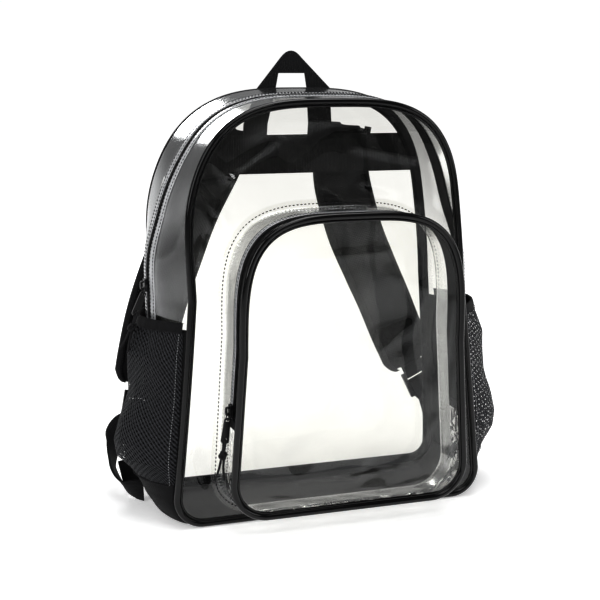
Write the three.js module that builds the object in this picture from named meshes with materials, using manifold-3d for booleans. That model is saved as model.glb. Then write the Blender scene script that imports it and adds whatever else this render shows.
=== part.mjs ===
// A clear stadium backpack: a bag of see-through film with black piping, a zipped main
// compartment, a zipped front pocket, a mesh pocket on each side, a haul loop and two padded
// shoulder straps. Sizes are in millimetres. X runs to the right of someone who faces the
// front, the front faces -Y and Z is up. The origin is the middle of the flat underside.

import * as THREE from 'three';
import { mergeVertices } from 'three/addons/utils/BufferGeometryUtils.js';
import Module from 'manifold-3d';

const wasm = await Module();
wasm.setup();

// Walls and clearances
const gap = 0.3;
const film = 1.2;
const fabric = 1.6;
const meshCloth = 1.3;
const elastic = 2.2;
const webbing = 1.8;
const zipTape = 1.4;

// The bag's body: its front and back outlines, and the depth between them
const depth = 120;
const depthLostAtTop = 4;
const seamLift = 3.9;
const seamLiftWidth = 9;
const front = { baseHalf: 168, waistHalf: 148, waistZ: 235, topZ: 430, corner: 28, power: 3.4 };
const back = { baseHalf: 172, waistHalf: 163, waistZ: 235, topZ: 442, corner: 28, power: 3.1 };
const sideSwell = 22;
const slump = 7;

// Trim that runs round the seams
const pipingRadius = 3.4;
const bindingWidth = 10.4;
const bindingProud = 0.8;
const bindingInside = 2;
const bindingOutside = 2.4;

// The main zip, centred in the gusset
const zipWidth = 30;
const coilWidth = 7;
const coilHeight = 1.8;
const coilFlank = 1.2;

// The front pocket: its outline where it is sewn on, and its outline at the front
const pocketSeat = { baseHalf: 124, waistHalf: 115, waistZ: 200, topZ: 324, baseZ: 20, corner: 34, power: 3.6 };
const pocketFace = { baseHalf: 124.5, waistHalf: 116, waistZ: 189, topZ: 322, baseZ: 24, corner: 36, power: 3.6 };
const pocketDepthLow = 56;
const pocketDepthHigh = 66;
const pocketFlange = 9;
const pocketZipWidth = 26;
const pocketZipEndZ = 122;
const pocketZipStop = 9;

// The side pockets
const sidePocketTop = 213;
const sidePocketBand = 11;
const sidePocketSolid = 46;
const sidePocketPuff = 41;
const sidePocketSeamIn = 6;
const sidePocketSeamOff = 0.55;
const sidePocketFullness = 0.62;

// The back: yoke band, haul loop, straps, buckles and webbing
const yoke = { low: 350, high: 392 };
const haul = {
  legWidth: 27, leftLeg: -43, rightLeg: 31, legEndZ: 356, bendZ: 404,
  leftFoot: -32.5, leftFootWidth: 21, rightFoot: 27, rightFootWidth: 27,
  apexX: -1, apexZ: 482, slopeLeft: 15, slopeRight: 8, slopeDrop: 7,
  openingLeft: -19, openingRight: 11, openingZ: 458,
};
const strap = { width: 64, endWidth: 46, thickness: 9, sewnThickness: 5, sewnShare: 0.12, bow: 34, tipLength: 14 };
const buckle = { width: 36, length: 30, thickness: 4, bar: 4.2, slotWidth: 27, lead: 8 };
const webWidth = 25;
const turnEase = 0.5;
const anchorTab = { low: 6, high: 48, inner: 164, tipX: 204, tipLow: 12, tipHigh: 40, tipSlant: 6 };
const webStart = { fromInner: 21, fromLow: 12, rise: 18, inward: 2, off: 1.5 };
const webLead = { beyond: 10, inside: 2, off: 1.5 };

// Zip sliders and their pulls
const slider = { length: 13, width: 9.5, height: 2.8, bridgeRise: 3.9, bridgeWidth: 3, bridgeWall: 1.6,
  bridgeReach: 4.4 };
const sliderRide = 0.4;
const link = { radius: 3.8, wire: 0.6 };
const pull = { length: 26, width: 8, thickness: 2.2, hole: 2.1, slotTall: 2.3, slotWide: 3.6, slotDown: 1.4 };
const cord = { diameter: 2.4, loop: 12, knotWide: 6.6, knotTall: 7.8, tail: 21, spread: 3.4 };
const mainPullTilt = 22;
const pocketPullTilt = 4;

// How many sides piping and cord have, and steps each stretch of an outline is cut into
const cordSides = 8;
const steps = { floor: 2, corner: 3, side: 4, arch: 11 };
const cornerTop = steps.floor + steps.corner;
const waist = cornerTop + steps.side;
const crown = waist + steps.arch;
const loopCount = 2 * crown;
const archCrowding = 0.08;

// Where the body leans to one side: heights as shares of the front's height, shifts of slump
const leanTable = [
  { at: 0, shift: 0 },
  { at: 0.3, shift: 0 },
  { at: 0.55, shift: -0.3 },
  { at: 0.74, shift: -0.9 },
  { at: 0.88, shift: -0.5 },
  { at: 1, shift: 0 },
];

// How far the stuffed sides swell at mid depth: heights as shares of the front's height
const swellTable = [
  { at: 0, swell: 0 },
  { at: 0.12, swell: 0.36 },
  { at: 0.3, swell: 0.55 },
  { at: 0.48, swell: 0.92 },
  { at: 0.57, swell: 1 },
  { at: 0.64, swell: 0.88 },
  { at: 0.73, swell: 0.42 },
  { at: 0.82, swell: 0.14 },
  { at: 0.9, swell: 0 },
  { at: 1.1, swell: 0 },
];

// The side pockets' belly: heights as shares of the pocket's, puffs as shares of its puff
const puffTable = [
  { at: 0.011, puff: 0.02 },
  { at: 0.012, puff: 0.4 },
  { at: 0.05, puff: 0.27 },
  { at: 0.11, puff: 0.27 },
  { at: 0.15, puff: 0.32 },
  { at: 0.2, puff: 0.45 },
  { at: 0.26, puff: 0.7 },
  { at: 0.31, puff: 0.93 },
  { at: 0.39, puff: 1 },
  { at: 0.48, puff: 0.9 },
  { at: 0.62, puff: 0.62 },
  { at: 0.82, puff: 0.54 },
  { at: 0.94, puff: 0.26 },
  { at: 1, puff: 0.18 },
];

// Soft dents of the front film: places as shares of the half width and height, radii and
// depths as shares of the depth of the bag
const frontDents = [
  { x: -0.72, z: 0.62, radius: 0.42, deep: 0.06 },
  { x: 0.8, z: 0.4, radius: 0.5, deep: 0.05 },
  { x: -0.35, z: 0.88, radius: 0.5, deep: 0.035 },
];

// Soft dents of the front pocket's film, read in the same way from the pocket's own sizes
const pocketDents = [
  { x: 0.2, z: 0.12, radius: 0.35, deep: 0.09 },
  { x: -0.45, z: 0.2, radius: 0.4, deep: 0.07 },
  { x: 0.3, z: 0.66, radius: 0.8, deep: 0.08 },
];

// The straps' centre lines: heights as shares of the front's height, places across as shares
// of the back's half width at the base, bows as shares of the strap's bow
const rightStrap = [
  { z: 0.94, x: 0.36, bow: 0 },
  { z: 0.88, x: 0.345, bow: 0 },
  { z: 0.815, x: 0.36, bow: 0.03 },
  { z: 0.72, x: 0.45, bow: 0.45 },
  { z: 0.63, x: 0.54, bow: 0.85 },
  { z: 0.54, x: 0.64, bow: 1 },
  { z: 0.45, x: 0.74, bow: 1 },
  { z: 0.36, x: 0.83, bow: 0.93 },
  { z: 0.27, x: 0.93, bow: 0.8 },
];
const leftStrap = [
  { z: 0.94, x: 0.46, bow: 0 },
  { z: 0.88, x: 0.485, bow: 0 },
  { z: 0.815, x: 0.53, bow: 0.03 },
  { z: 0.72, x: 0.62, bow: 0.45 },
  { z: 0.63, x: 0.7, bow: 0.85 },
  { z: 0.54, x: 0.79, bow: 1 },
  { z: 0.45, x: 0.87, bow: 1 },
  { z: 0.36, x: 0.93, bow: 0.93 },
  { z: 0.27, x: 0.98, bow: 0.8 },
];

// The free tail of each strap's webbing on the right: places across as shares of the back's
// half width at the base, places back as shares of half the depth, heights as shares of the
// webbing's width, and the direction across the webbing there
const tailRoute = [
  { x: 1.128, y: 1.633, z: 2.72, across: [0.8, 0.6, 0.1] },
  { x: 1.192, y: 1.4, z: 2.08, across: [0.4, 0.9, 0] },
  { x: 1.215, y: 1.133, z: 1.44, across: [0.3, 0.95, -0.1] },
  { x: 1.203, y: 0.9, z: 0.88, across: [0.3, 0.9, -0.3] },
  { x: 1.174, y: 0.633, z: 0.56, across: [0.2, 0.5, -0.84] },
  { x: 1.14, y: 0.333, z: 0.56, across: [0.1, 0.15, -0.98] },
  { x: 1.108, y: 0.05, z: 0.56, across: [0, 0, -1] },
];

// Finishes
const finish = (colour, roughness, metalness = 0, opacity = 1) => {
  const settings = { color: colour, roughness, metalness };
  if (opacity < 1) {
    settings.transparent = true;
    settings.opacity = opacity;
  }
  return () => new THREE.MeshStandardMaterial(settings);
};
const clearFilm = finish('#f3f4f1', 0.08, 0, 0.28);
const glossBlack = finish('#0c0c0d', 0.2);
const fabricBlack = finish('#17171a', 0.85);
const netBlack = finish('#141417', 0.8, 0, 0.85);
const webBlack = finish('#131315', 0.75);
const tapeBlack = finish('#1a1a1d', 0.8);
const plasticBlack = finish('#101012', 0.35);
const metalBlack = finish('#1b1b1d', 0.4, 0.6);
const cordBlack = finish('#0f0f11', 0.85);

// Numbers and tables
const mix = (a, b, t) => a + (b - a) * t;
const clamp = (value, low, high) => Math.min(high, Math.max(low, value));
const vector = (x, y, z) => new THREE.Vector3(x, y, z);

function read(table, key, column, at) {
  const rows = table[0][key] < table[table.length - 1][key] ? table : [...table].reverse();
  const place = clamp(at, rows[0][key], rows[rows.length - 1][key]);
  let low = rows.length - 2;
  while (low > 0 && rows[low][key] > place) {
    low -= 1;
  }
  const slope = (k) => {
    const before = rows[Math.max(0, k - 1)];
    const after = rows[Math.min(rows.length - 1, k + 1)];
    return (after[column] - before[column]) / (after[key] - before[key]);
  };
  const span = rows[low + 1][key] - rows[low][key];
  const t = (place - rows[low][key]) / span;
  const t2 = t * t;
  const t3 = t2 * t;
  return (2 * t3 - 3 * t2 + 1) * rows[low][column] + (t3 - 2 * t2 + t) * span * slope(low)
    + (3 * t2 - 2 * t3) * rows[low + 1][column] + (t3 - t2) * span * slope(low + 1);
}

function readStraight(table, key, column, at) {
  const place = clamp(at, table[0][key], table[table.length - 1][key]);
  let low = table.length - 2;
  while (low > 0 && table[low][key] > place) {
    low -= 1;
  }
  const t = (place - table[low][key]) / (table[low + 1][key] - table[low][key]);
  return mix(table[low][column], table[low + 1][column], t);
}

// Closed bodies from points and triangles
function clean(geometry) {
  const bare = geometry.clone();
  bare.deleteAttribute('normal');
  bare.deleteAttribute('uv');
  const welded = mergeVertices(bare, 1e-3);
  const kept = [];
  const index = welded.getIndex().array;
  for (let k = 0; k < index.length; k += 3) {
    const [a, b, c] = [index[k], index[k + 1], index[k + 2]];
    if (a !== b && b !== c && c !== a) {
      kept.push(a, b, c);
    }
  }
  const points = welded.getAttribute('position');
  const [a, b, c] = [vector(), vector(), vector()];
  let volume = 0;
  for (let k = 0; k < kept.length; k += 3) {
    a.fromBufferAttribute(points, kept[k]);
    b.fromBufferAttribute(points, kept[k + 1]);
    c.fromBufferAttribute(points, kept[k + 2]);
    volume += a.dot(b.cross(c));
  }
  if (volume < 0) {
    for (let k = 0; k < kept.length; k += 3) {
      [kept[k + 1], kept[k + 2]] = [kept[k + 2], kept[k + 1]];
    }
  }
  welded.setIndex(kept);
  welded.computeVertexNormals();
  return welded;
}

function bodyOf(points, faces) {
  const geometry = new THREE.BufferGeometry();
  geometry.setAttribute('position', new THREE.Float32BufferAttribute(points.flatMap((p) => p.toArray()), 3));
  geometry.setIndex(faces.flat());
  return clean(geometry);
}

// A wall: a grid of rows and columns with an outer side, 0, and an inner side, 1
function wall(rows, columns, at, closed = false) {
  const points = [];
  for (let r = 0; r < rows; r += 1) {
    for (let c = 0; c < columns; c += 1) {
      points.push(at(r, c, 0), at(r, c, 1));
    }
  }
  const id = (r, c, side) => ((r % rows) * columns + c) * 2 + side;
  const faces = [];
  const quad = (p, q, r, s) => faces.push([p, q, r], [p, r, s]);
  const end = closed ? rows : rows - 1;
  const rim = columns - 1;
  for (let r = 0; r < end; r += 1) {
    for (let c = 0; c < rim; c += 1) {
      quad(id(r, c, 0), id(r + 1, c, 0), id(r + 1, c + 1, 0), id(r, c + 1, 0));
      quad(id(r, c, 1), id(r, c + 1, 1), id(r + 1, c + 1, 1), id(r + 1, c, 1));
    }
    quad(id(r, 0, 1), id(r + 1, 0, 1), id(r + 1, 0, 0), id(r, 0, 0));
    quad(id(r, rim, 0), id(r + 1, rim, 0), id(r + 1, rim, 1), id(r, rim, 1));
  }
  if (!closed) {
    for (let c = 0; c < rim; c += 1) {
      quad(id(0, c, 0), id(0, c + 1, 0), id(0, c + 1, 1), id(0, c, 1));
      quad(id(end, c + 1, 0), id(end, c, 0), id(end, c, 1), id(end, c + 1, 1));
    }
  }
  return bodyOf(points, faces);
}

// A bar of constant outline: rows of a convex section, closed in a ring or capped
function bar(rows, sides, at, closed = false) {
  const points = [];
  for (let r = 0; r < rows; r += 1) {
    for (let k = 0; k < sides; k += 1) {
      points.push(at(r, k));
    }
  }
  const id = (r, k) => (r % rows) * sides + (k % sides);
  const faces = [];
  const end = closed ? rows : rows - 1;
  for (let r = 0; r < end; r += 1) {
    for (let k = 0; k < sides; k += 1) {
      faces.push([id(r, k), id(r + 1, k), id(r + 1, k + 1)], [id(r, k), id(r + 1, k + 1), id(r, k + 1)]);
    }
  }
  if (!closed) {
    for (let k = 1; k < sides - 1; k += 1) {
      faces.push([id(0, 0), id(0, k), id(0, k + 1)], [id(end, 0), id(end, k + 1), id(end, k)]);
    }
  }
  return bodyOf(points, faces);
}

function toSolid(geometry) {
  const welded = clean(geometry);
  return new wasm.Manifold(new wasm.Mesh({
    numProp: 3,
    vertProperties: new Float32Array(welded.getAttribute('position').array),
    triVerts: new Uint32Array(welded.getIndex().array),
  }));
}

function fromSolid(solid) {
  const mesh = solid.getMesh();
  const geometry = new THREE.BufferGeometry();
  geometry.setAttribute('position', new THREE.Float32BufferAttribute(mesh.vertProperties, 3));
  geometry.setIndex(Array.from(mesh.triVerts));
  geometry.computeVertexNormals();
  return geometry;
}

const model = new THREE.Group();

function add(name, geometry, material) {
  const mesh = new THREE.Mesh(geometry, material());
  mesh.name = name;
  model.add(mesh);
  return mesh;
}

// Outlines: half of one from the middle of its floor, round the corner, up the side and over
// the arch, then the whole loop with its mirror image
function halfOutline({ baseHalf, waistHalf, waistZ, topZ, baseZ, corner, power }) {
  const points = [];
  for (let k = 0; k < steps.floor; k += 1) {
    points.push([(baseHalf - corner) * k / steps.floor, baseZ]);
  }
  for (let k = 0; k < steps.corner; k += 1) {
    const turn = (k / steps.corner) * Math.PI / 2;
    points.push([baseHalf - corner * (1 - Math.sin(turn)), baseZ + corner * (1 - Math.cos(turn))]);
  }
  for (let k = 0; k < steps.side; k += 1) {
    const share = k / steps.side;
    points.push([mix(baseHalf, waistHalf, share), mix(baseZ + corner, waistZ, share)]);
  }
  for (let k = 0; k <= steps.arch; k += 1) {
    const even = (k / steps.arch) * Math.PI / 2;
    const turn = even + archCrowding * Math.sin(4 * even);
    const [across, up] = [Math.max(0, Math.cos(turn)), Math.sin(turn)];
    const radius = (across ** power + up ** power) ** (-1 / power);
    points.push([waistHalf * radius * across, mix(waistZ, topZ, radius * up)]);
  }
  return points;
}

function fullOutline(outline) {
  const half = halfOutline(outline);
  const mirrored = half.slice(1, -1).reverse().map(([x, z]) => [-x, z]);
  return [...half, ...mirrored];
}

// A place on a loop of points by a count that may be a fraction, and the outward direction
function onLoop(loop, place) {
  const wrapped = ((place % loopCount) + loopCount) % loopCount;
  const low = Math.floor(wrapped + 1e-9);
  const t = wrapped - low;
  const [p, q] = [loop[low % loopCount], loop[(low + 1) % loopCount]];
  const pick = (k) => loop[(k + loopCount) % loopCount];
  const edge = (a, b) => [b[0] - a[0], b[1] - a[1]];
  let direction = edge(p, q);
  if (t < 1e-6) {
    const before = edge(pick(low - 1), p);
    const lengths = [Math.hypot(...before), Math.hypot(...direction)];
    direction = [0, 1].map((k) => before[k] / lengths[0] + direction[k] / lengths[1]);
  }
  const length = Math.hypot(...direction);
  return { x: mix(p[0], q[0], t), z: mix(p[1], q[1], t), outX: direction[1] / length, outZ: -direction[0] / length };
}

const frontY = -depth / 2;
const backY = (z) => depth / 2 - depthLostAtTop * z / front.topZ;
const lean = (z) => slump * read(leanTable, 'at', 'shift', z / front.topZ);
const swell = (z) => sideSwell * read(swellTable, 'at', 'swell', z / front.topZ);

// The body's skin at a share of the depth: its outline there, and a point on it, where
// outward is how far the point stands off the skin
const bodyLift = (share) => seamLift * Math.max(0, 1 - Math.min(share, 1 - share) * depth / seamLiftWidth);

function bodyOutline(share) {
  const at = (key) => mix(front[key], back[key], share);
  const outline = {
    baseHalf: at('baseHalf'), waistHalf: at('waistHalf'), waistZ: at('waistZ'), topZ: at('topZ'),
    corner: at('corner'), power: at('power'), baseZ: bodyLift(share),
  };
  const pushed = Math.sin(Math.PI * clamp(share, 0, 1));
  return fullOutline(outline).map(([x, z]) => [x + Math.sign(x) * pushed * swell(z) + lean(z), z]);
}

const outlines = new Map();
function bodyPoint(place, share, outward = 0) {
  if (!outlines.has(share)) {
    outlines.set(share, bodyOutline(share));
  }
  const p = onLoop(outlines.get(share), place);
  const z = p.z + p.outZ * outward;
  return vector(p.x + p.outX * outward, mix(frontY, backY(p.z), share), z);
}

const range = (from, to) => Array.from({ length: Math.round(to - from) + 1 }, (_, k) => from + k);

// A strip of the body's skin between two places round the loop and over some shares of depth
function bodyStrip(places, columns, thick, closed = false) {
  return wall(places.length, columns.length, (r, c, side) => {
    const { share, proud = 0 } = columns[c];
    return bodyPoint(places[r], share, side === 0 ? proud : -thick);
  }, closed);
}

const shareOf = (length) => length / depth;
const seamShare = shareOf(pipingRadius + gap);
const rearShare = 1 - shareOf(bindingInside + gap);
const zipFrom = 0.5 - shareOf(zipWidth / 2);
const zipTo = 0.5 + shareOf(zipWidth / 2);
const between = (from, to, count) => Array.from({ length: count + 1 }, (_, k) => ({ share: mix(from, to, k / count) }));

// Gaps along the loop, as parts of one step
const sideStep = (front.waistZ - front.corner) / steps.side;
const stepGap = gap / sideStep;

function bodyTrim() {
  const ringPlaces = range(0, loopCount - 1);
  add('front_piping', bar(loopCount, cordSides, (r, k) => {
    const turn = (k / cordSides) * 2 * Math.PI;
    const p = bodyPoint(ringPlaces[r], 0, pipingRadius * Math.cos(turn));
    p.y += pipingRadius * Math.sin(turn);
    return p;
  }, true), glossBlack);

  const section = [
    [bindingProud, -bindingInside * 0.6],
    [bindingProud, bindingOutside * 0.6],
    [0, bindingOutside],
    [-bindingWidth, bindingOutside],
    [-bindingWidth, -bindingInside],
    [0, -bindingInside],
  ];
  add('back_binding', bar(loopCount, section.length, (r, k) => {
    const p = bodyPoint(ringPlaces[r], 1, section[k][0]);
    p.y += section[k][1];
    return p;
  }, true), fabricBlack);
}

function gusset() {
  const overTop = range(waist, loopCount - waist);
  add('gusset_front_strip', bodyStrip(overTop, between(seamShare, zipFrom - shareOf(gap), 3), film), clearFilm);
  add('gusset_rear_strip', bodyStrip(overTop, between(zipTo + shareOf(gap), rearShare, 3), film), clearFilm);
  const coilFrom = 0.5 - shareOf(coilWidth / 2);
  const coilTo = 0.5 + shareOf(coilWidth / 2);
  const flank = shareOf(coilFlank);
  add('main_zip', bodyStrip(overTop, [
    { share: zipFrom },
    { share: coilFrom - flank },
    { share: coilFrom, proud: coilHeight },
    { share: coilTo, proud: coilHeight },
    { share: coilTo + flank },
    { share: zipTo },
  ], zipTape), tapeBlack);

  const upSide = [cornerTop + stepGap, ...range(cornerTop + 1, waist - 1), waist - stepGap];
  const sideColumns = between(seamShare, rearShare, 6);
  const upLeftSide = upSide.map((place) => loopCount - place).reverse();
  add('side_panel_right', bodyStrip(upSide, sideColumns, fabric), fabricBlack);
  add('side_panel_left', bodyStrip(upLeftSide, sideColumns, fabric), fabricBlack);

  const liftShare = shareOf(seamLiftWidth);
  const baseColumns = [
    { share: seamShare },
    { share: liftShare },
    { share: 0.5 },
    { share: 1 - liftShare },
    { share: rearShare },
  ];
  add('base_panel', bodyStrip(range(-cornerTop, cornerTop), baseColumns, fabric), fabricBlack);
}

const panelMiddle = 0.5;
const panelRings = 4;

// A flat panel of film inside a loop: rings of the loop drawn in to its middle
function panel(rimPoint, middle, rings, dent) {
  return wall(loopCount, rings + 1, (r, c, side) => {
    const rim = rimPoint(r);
    const share = c / rings;
    const x = mix(rim.x, middle.x, share);
    const z = mix(rim.z, middle.z, share);
    const y = middle.y(z) + dent(x, z, share) + (side === 0 ? -film / 2 : film / 2);
    return vector(x, y, z);
  }, true);
}

function dentDepth(dents, x, z, half, low, high, span) {
  let deep = 0;
  for (const dent of dents) {
    const away = Math.hypot(x - dent.x * half, z - mix(low, high, dent.z)) / (dent.radius * span);
    if (away < 1) {
      deep += dent.deep * span * (1 - away * away) ** 2;
    }
  }
  return deep;
}

function bodyPanels() {
  const middleZ = front.topZ * panelMiddle;
  add('front_panel', panel(
    (r) => bodyPoint(r, 0, -(pipingRadius + gap)),
    { x: 0, z: middleZ, y: () => frontY },
    panelRings,
    (x, z, share) => {
      const settle = Math.min(1, share * panelRings);
      return settle * dentDepth(frontDents, x, z, front.baseHalf, 0, front.topZ, depth);
    },
  ), clearFilm);
  add('back_panel', panel(
    (r) => bodyPoint(r, 1, -(bindingWidth + gap)),
    { x: 0, z: middleZ, y: backY },
    1,
    () => 0,
  ), clearFilm);
}

// The front pocket's skin, from its seat on the front panel, share 0, to its front, share 1
const pocketSeatY = frontY - film / 2 - gap;
const pocketFaceY = (z) => frontY - mix(pocketDepthLow, pocketDepthHigh, z / pocketFace.topZ);
const pocketLoops = { seat: fullOutline(pocketSeat), face: fullOutline(pocketFace) };

function pocketPoint(place, share, outward = 0) {
  const loop = pocketLoops.seat.map(([x, z], k) => [
    mix(x, pocketLoops.face[k][0], share),
    mix(z, pocketLoops.face[k][1], share),
  ]);
  const p = onLoop(loop, place);
  const y = mix(pocketSeatY, pocketFaceY(p.z), share);
  return vector(p.x + p.outX * outward, y, p.z + p.outZ * outward);
}

function pocketStrip(places, columns, thick, closed = false) {
  return wall(places.length, columns.length, (r, c, side) => {
    const { share, proud = 0 } = columns[c];
    return pocketPoint(places[r], share, side === 0 ? proud : -thick);
  }, closed);
}

// Places round the pocket where its zip ends
const pocketSideLow = pocketFace.baseZ + pocketFace.corner;
const pocketPlaceAt = (z) => cornerTop + steps.side * (z - pocketSideLow) / (pocketFace.waistZ - pocketSideLow);
const pocketMeanDepth = (pocketDepthLow + pocketDepthHigh) / 2;
const pocketShare = (length) => length / pocketMeanDepth;
const pocketZipFront = 1 - pocketShare(pipingRadius + 2 * gap);
const pocketZipRear = pocketZipFront - pocketShare(pocketZipWidth);
const pocketStripFront = pocketZipRear - pocketShare(gap);

function frontPocket() {
  const ring = range(0, loopCount - 1);
  add('pocket_piping', bar(loopCount, cordSides, (r, k) => {
    const turn = (k / cordSides) * 2 * Math.PI;
    const p = pocketPoint(ring[r], 1, pipingRadius * Math.cos(turn));
    p.y += pipingRadius * Math.sin(turn);
    return p;
  }, true), glossBlack);

  add('pocket_panel', panel(
    (r) => pocketPoint(r, 1, -(pipingRadius + gap)),
    { x: 0, z: pocketFace.topZ * panelMiddle, y: pocketFaceY },
    panelRings,
    (x, z, share) => {
      const settle = Math.min(1, share * panelRings);
      return settle * dentDepth(pocketDents, x, z, pocketFace.baseHalf, pocketFace.baseZ, pocketFace.topZ,
        pocketMeanDepth);
    },
  ), clearFilm);

  const strip = [
    [{ share: 0, out: pocketFlange, drop: film }, { share: 0, out: pocketFlange, drop: 0 }],
    [{ share: 0, out: 0, drop: film }, { share: 0, out: -film, drop: 0 }],
    [{ share: pocketStripFront / 2, out: 0, drop: 0 }, { share: pocketStripFront / 2, out: -film, drop: 0 }],
    [{ share: pocketStripFront, out: 0, drop: 0 }, { share: pocketStripFront, out: -film, drop: 0 }],
  ];
  add('pocket_rear_strip', wall(loopCount, strip.length, (r, c, side) => {
    const { share, out, drop } = strip[c][side];
    const p = pocketPoint(ring[r], share, out);
    p.y -= drop;
    return p;
  }, true), clearFilm);

  const endPlace = pocketPlaceAt(pocketZipEndZ);
  const stopPlace = pocketPlaceAt(pocketZipEndZ - pocketZipStop);
  const joint = gap * steps.side / (pocketFace.waistZ - pocketSideLow);
  const first = Math.ceil(endPlace + 1e-6);
  const overTop = [endPlace, ...range(first, loopCount - first), loopCount - endPlace];
  const middle = (pocketZipFront + pocketZipRear) / 2;
  const coilHalf = pocketShare(coilWidth / 2);
  const flank = pocketShare(coilFlank);
  add('pocket_zip', pocketStrip(overTop, [
    { share: pocketZipRear },
    { share: middle - coilHalf - flank },
    { share: middle - coilHalf, proud: coilHeight },
    { share: middle + coilHalf, proud: coilHeight },
    { share: middle + coilHalf + flank },
    { share: pocketZipFront },
  ], zipTape), tapeBlack);

  const stopColumns = [{ share: pocketZipRear }, { share: middle }, { share: pocketZipFront }];
  const stopPlaces = [stopPlace, endPlace - joint];
  add('pocket_zip_stop_right', pocketStrip(stopPlaces, stopColumns, zipTape), fabricBlack);
  add('pocket_zip_stop_left', pocketStrip(stopPlaces.map((k) => loopCount - k).reverse(), stopColumns, zipTape),
    fabricBlack);

  const under = Math.floor(stopPlace - joint);
  const lower = [-(stopPlace - joint), ...range(-under, under), stopPlace - joint];
  add('pocket_lower_gusset', pocketStrip(lower, stopColumns, film), clearFilm);
  return middle;
}

// Where the skin of a side stands at a height below the waist
function sideX(z, share) {
  const base = bodyLift(share);
  const at = (key) => mix(front[key], back[key], share);
  const corner = at('corner');
  const pushed = Math.sin(Math.PI * share) * swell(z);
  if (z < base + corner) {
    const rise = clamp((base + corner - z) / corner, 0, 1);
    return at('baseHalf') - corner * (1 - Math.sqrt(1 - rise * rise)) + pushed;
  }
  return mix(at('baseHalf'), at('waistHalf'), (z - base - corner) / (at('waistZ') - base - corner)) + pushed;
}

// A side pocket's skin stands off the side panel by its puff, and comes back to it at the seams
function sidePocketPoint(side, z, share) {
  const from = shareOf(sidePocketSeamIn);
  const t = clamp((share - from) / (1 - 2 * from), 0, 1);
  const belly = Math.sin(Math.PI * t) ** sidePocketFullness;
  const puff = sidePocketPuff * readStraight(puffTable, 'at', 'puff', z / sidePocketTop);
  const off = sidePocketSeamOff + puff * belly;
  return vector(side * (sideX(z, share) + off) + lean(z), mix(frontY, backY(z), share), z);
}

function sidePocketWall(side, heights, thick) {
  const from = shareOf(sidePocketSeamIn);
  const columns = 11;
  const shareAt = (c) => mix(from, 1 - from, (1 - Math.cos(Math.PI * c / (columns - 1))) / 2);
  const nudge = 0.4;
  return wall(heights.length, columns, (r, c, layer) => {
    const p = sidePocketPoint(side, heights[r], shareAt(c));
    if (layer === 1) {
      return p;
    }
    const low = Math.max(heights[0], heights[r] - nudge);
    const high = Math.min(heights[heights.length - 1], heights[r] + nudge);
    const up = sidePocketPoint(side, high, shareAt(c)).sub(sidePocketPoint(side, low, shareAt(c)));
    const reach = shareOf(nudge);
    const before = clamp(shareAt(c) - reach, from, 1 - from);
    const after = clamp(shareAt(c) + reach, from, 1 - from);
    const along = sidePocketPoint(side, heights[r], after).sub(sidePocketPoint(side, heights[r], before));
    const outward = along.cross(up).normalize();
    if (outward.x * side < 0) {
      outward.negate();
    }
    return p.addScaledVector(outward, thick);
  });
}

function sidePockets() {
  const bandLow = sidePocketTop - sidePocketBand;
  const rowsOf = (shares, low, high) => shares.map((share) => mix(low, high, share));
  const even = [0, 0.14, 0.28, 0.42, 0.56, 0.7, 0.85, 1];
  const seamRise = bodyLift(shareOf(sidePocketSeamIn));
  const roundCorner = range(1, steps.corner).map((k) => {
    const turn = (k / steps.corner) * Math.PI / 2;
    return seamRise + front.corner * (1 - Math.cos(turn));
  });
  const solidRows = [sidePocketTop * puffTable[0].at, sidePocketTop * puffTable[1].at, ...roundCorner,
    sidePocketSolid - gap];
  for (const [name, side] of [['left', -1], ['right', 1]]) {
    add(`side_pocket_bottom_${name}`, sidePocketWall(side, solidRows, fabric), fabricBlack);
    add(`side_pocket_mesh_${name}`,
      sidePocketWall(side, rowsOf(even, sidePocketSolid, bandLow - gap), meshCloth), netBlack);
    add(`side_pocket_band_${name}`, sidePocketWall(side, [bandLow, sidePocketTop], elastic), fabricBlack);
  }
}

// Plates that lie on the back: an outline in X and Z, pressed to a thickness behind the panel
function backPlate(shape, out, thick, curveSegments = 6) {
  const geometry = new THREE.ExtrudeGeometry(shape, { depth: thick, bevelEnabled: false, curveSegments });
  const points = geometry.getAttribute('position');
  for (let k = 0; k < points.count; k += 1) {
    const z = points.getY(k);
    points.setXYZ(k, points.getX(k) + lean(z), backY(z) + out + points.getZ(k), z);
  }
  return clean(geometry);
}

const panelOut = film / 2 + gap;
const yokeOut = panelOut + fabric;
const legOut = Math.max(yokeOut, bindingOutside) + gap;
const strapOut = legOut + webbing + gap;

// Where the binding's inner edge stands at a height, on the right, 1, or the left, -1
function bindingEdge(z, side, inset) {
  for (let k = waist - 1; k < crown; k += 1) {
    const [p, q] = [k, k + 1].map((place) => bodyPoint(side > 0 ? place : loopCount - place, 1, -inset));
    if (p.z <= z && q.z >= z) {
      return mix(p.x, q.x, (z - p.z) / (q.z - p.z)) - lean(z);
    }
  }
  throw new Error(`no binding edge at ${z}`);
}

function yokeBand() {
  const shape = new THREE.Shape();
  const inside = bindingWidth + 2 * gap;
  const levels = range(0, 4).map((k) => mix(yoke.low, yoke.high, k / 4));
  shape.moveTo(bindingEdge(yoke.low, -1, inside), yoke.low);
  for (const z of levels) {
    shape.lineTo(bindingEdge(z, 1, inside), z);
  }
  for (const z of [...levels].reverse()) {
    shape.lineTo(bindingEdge(z, -1, inside), z);
  }
  add('yoke_band', backPlate(shape, panelOut, fabric), webBlack);
}

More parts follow.
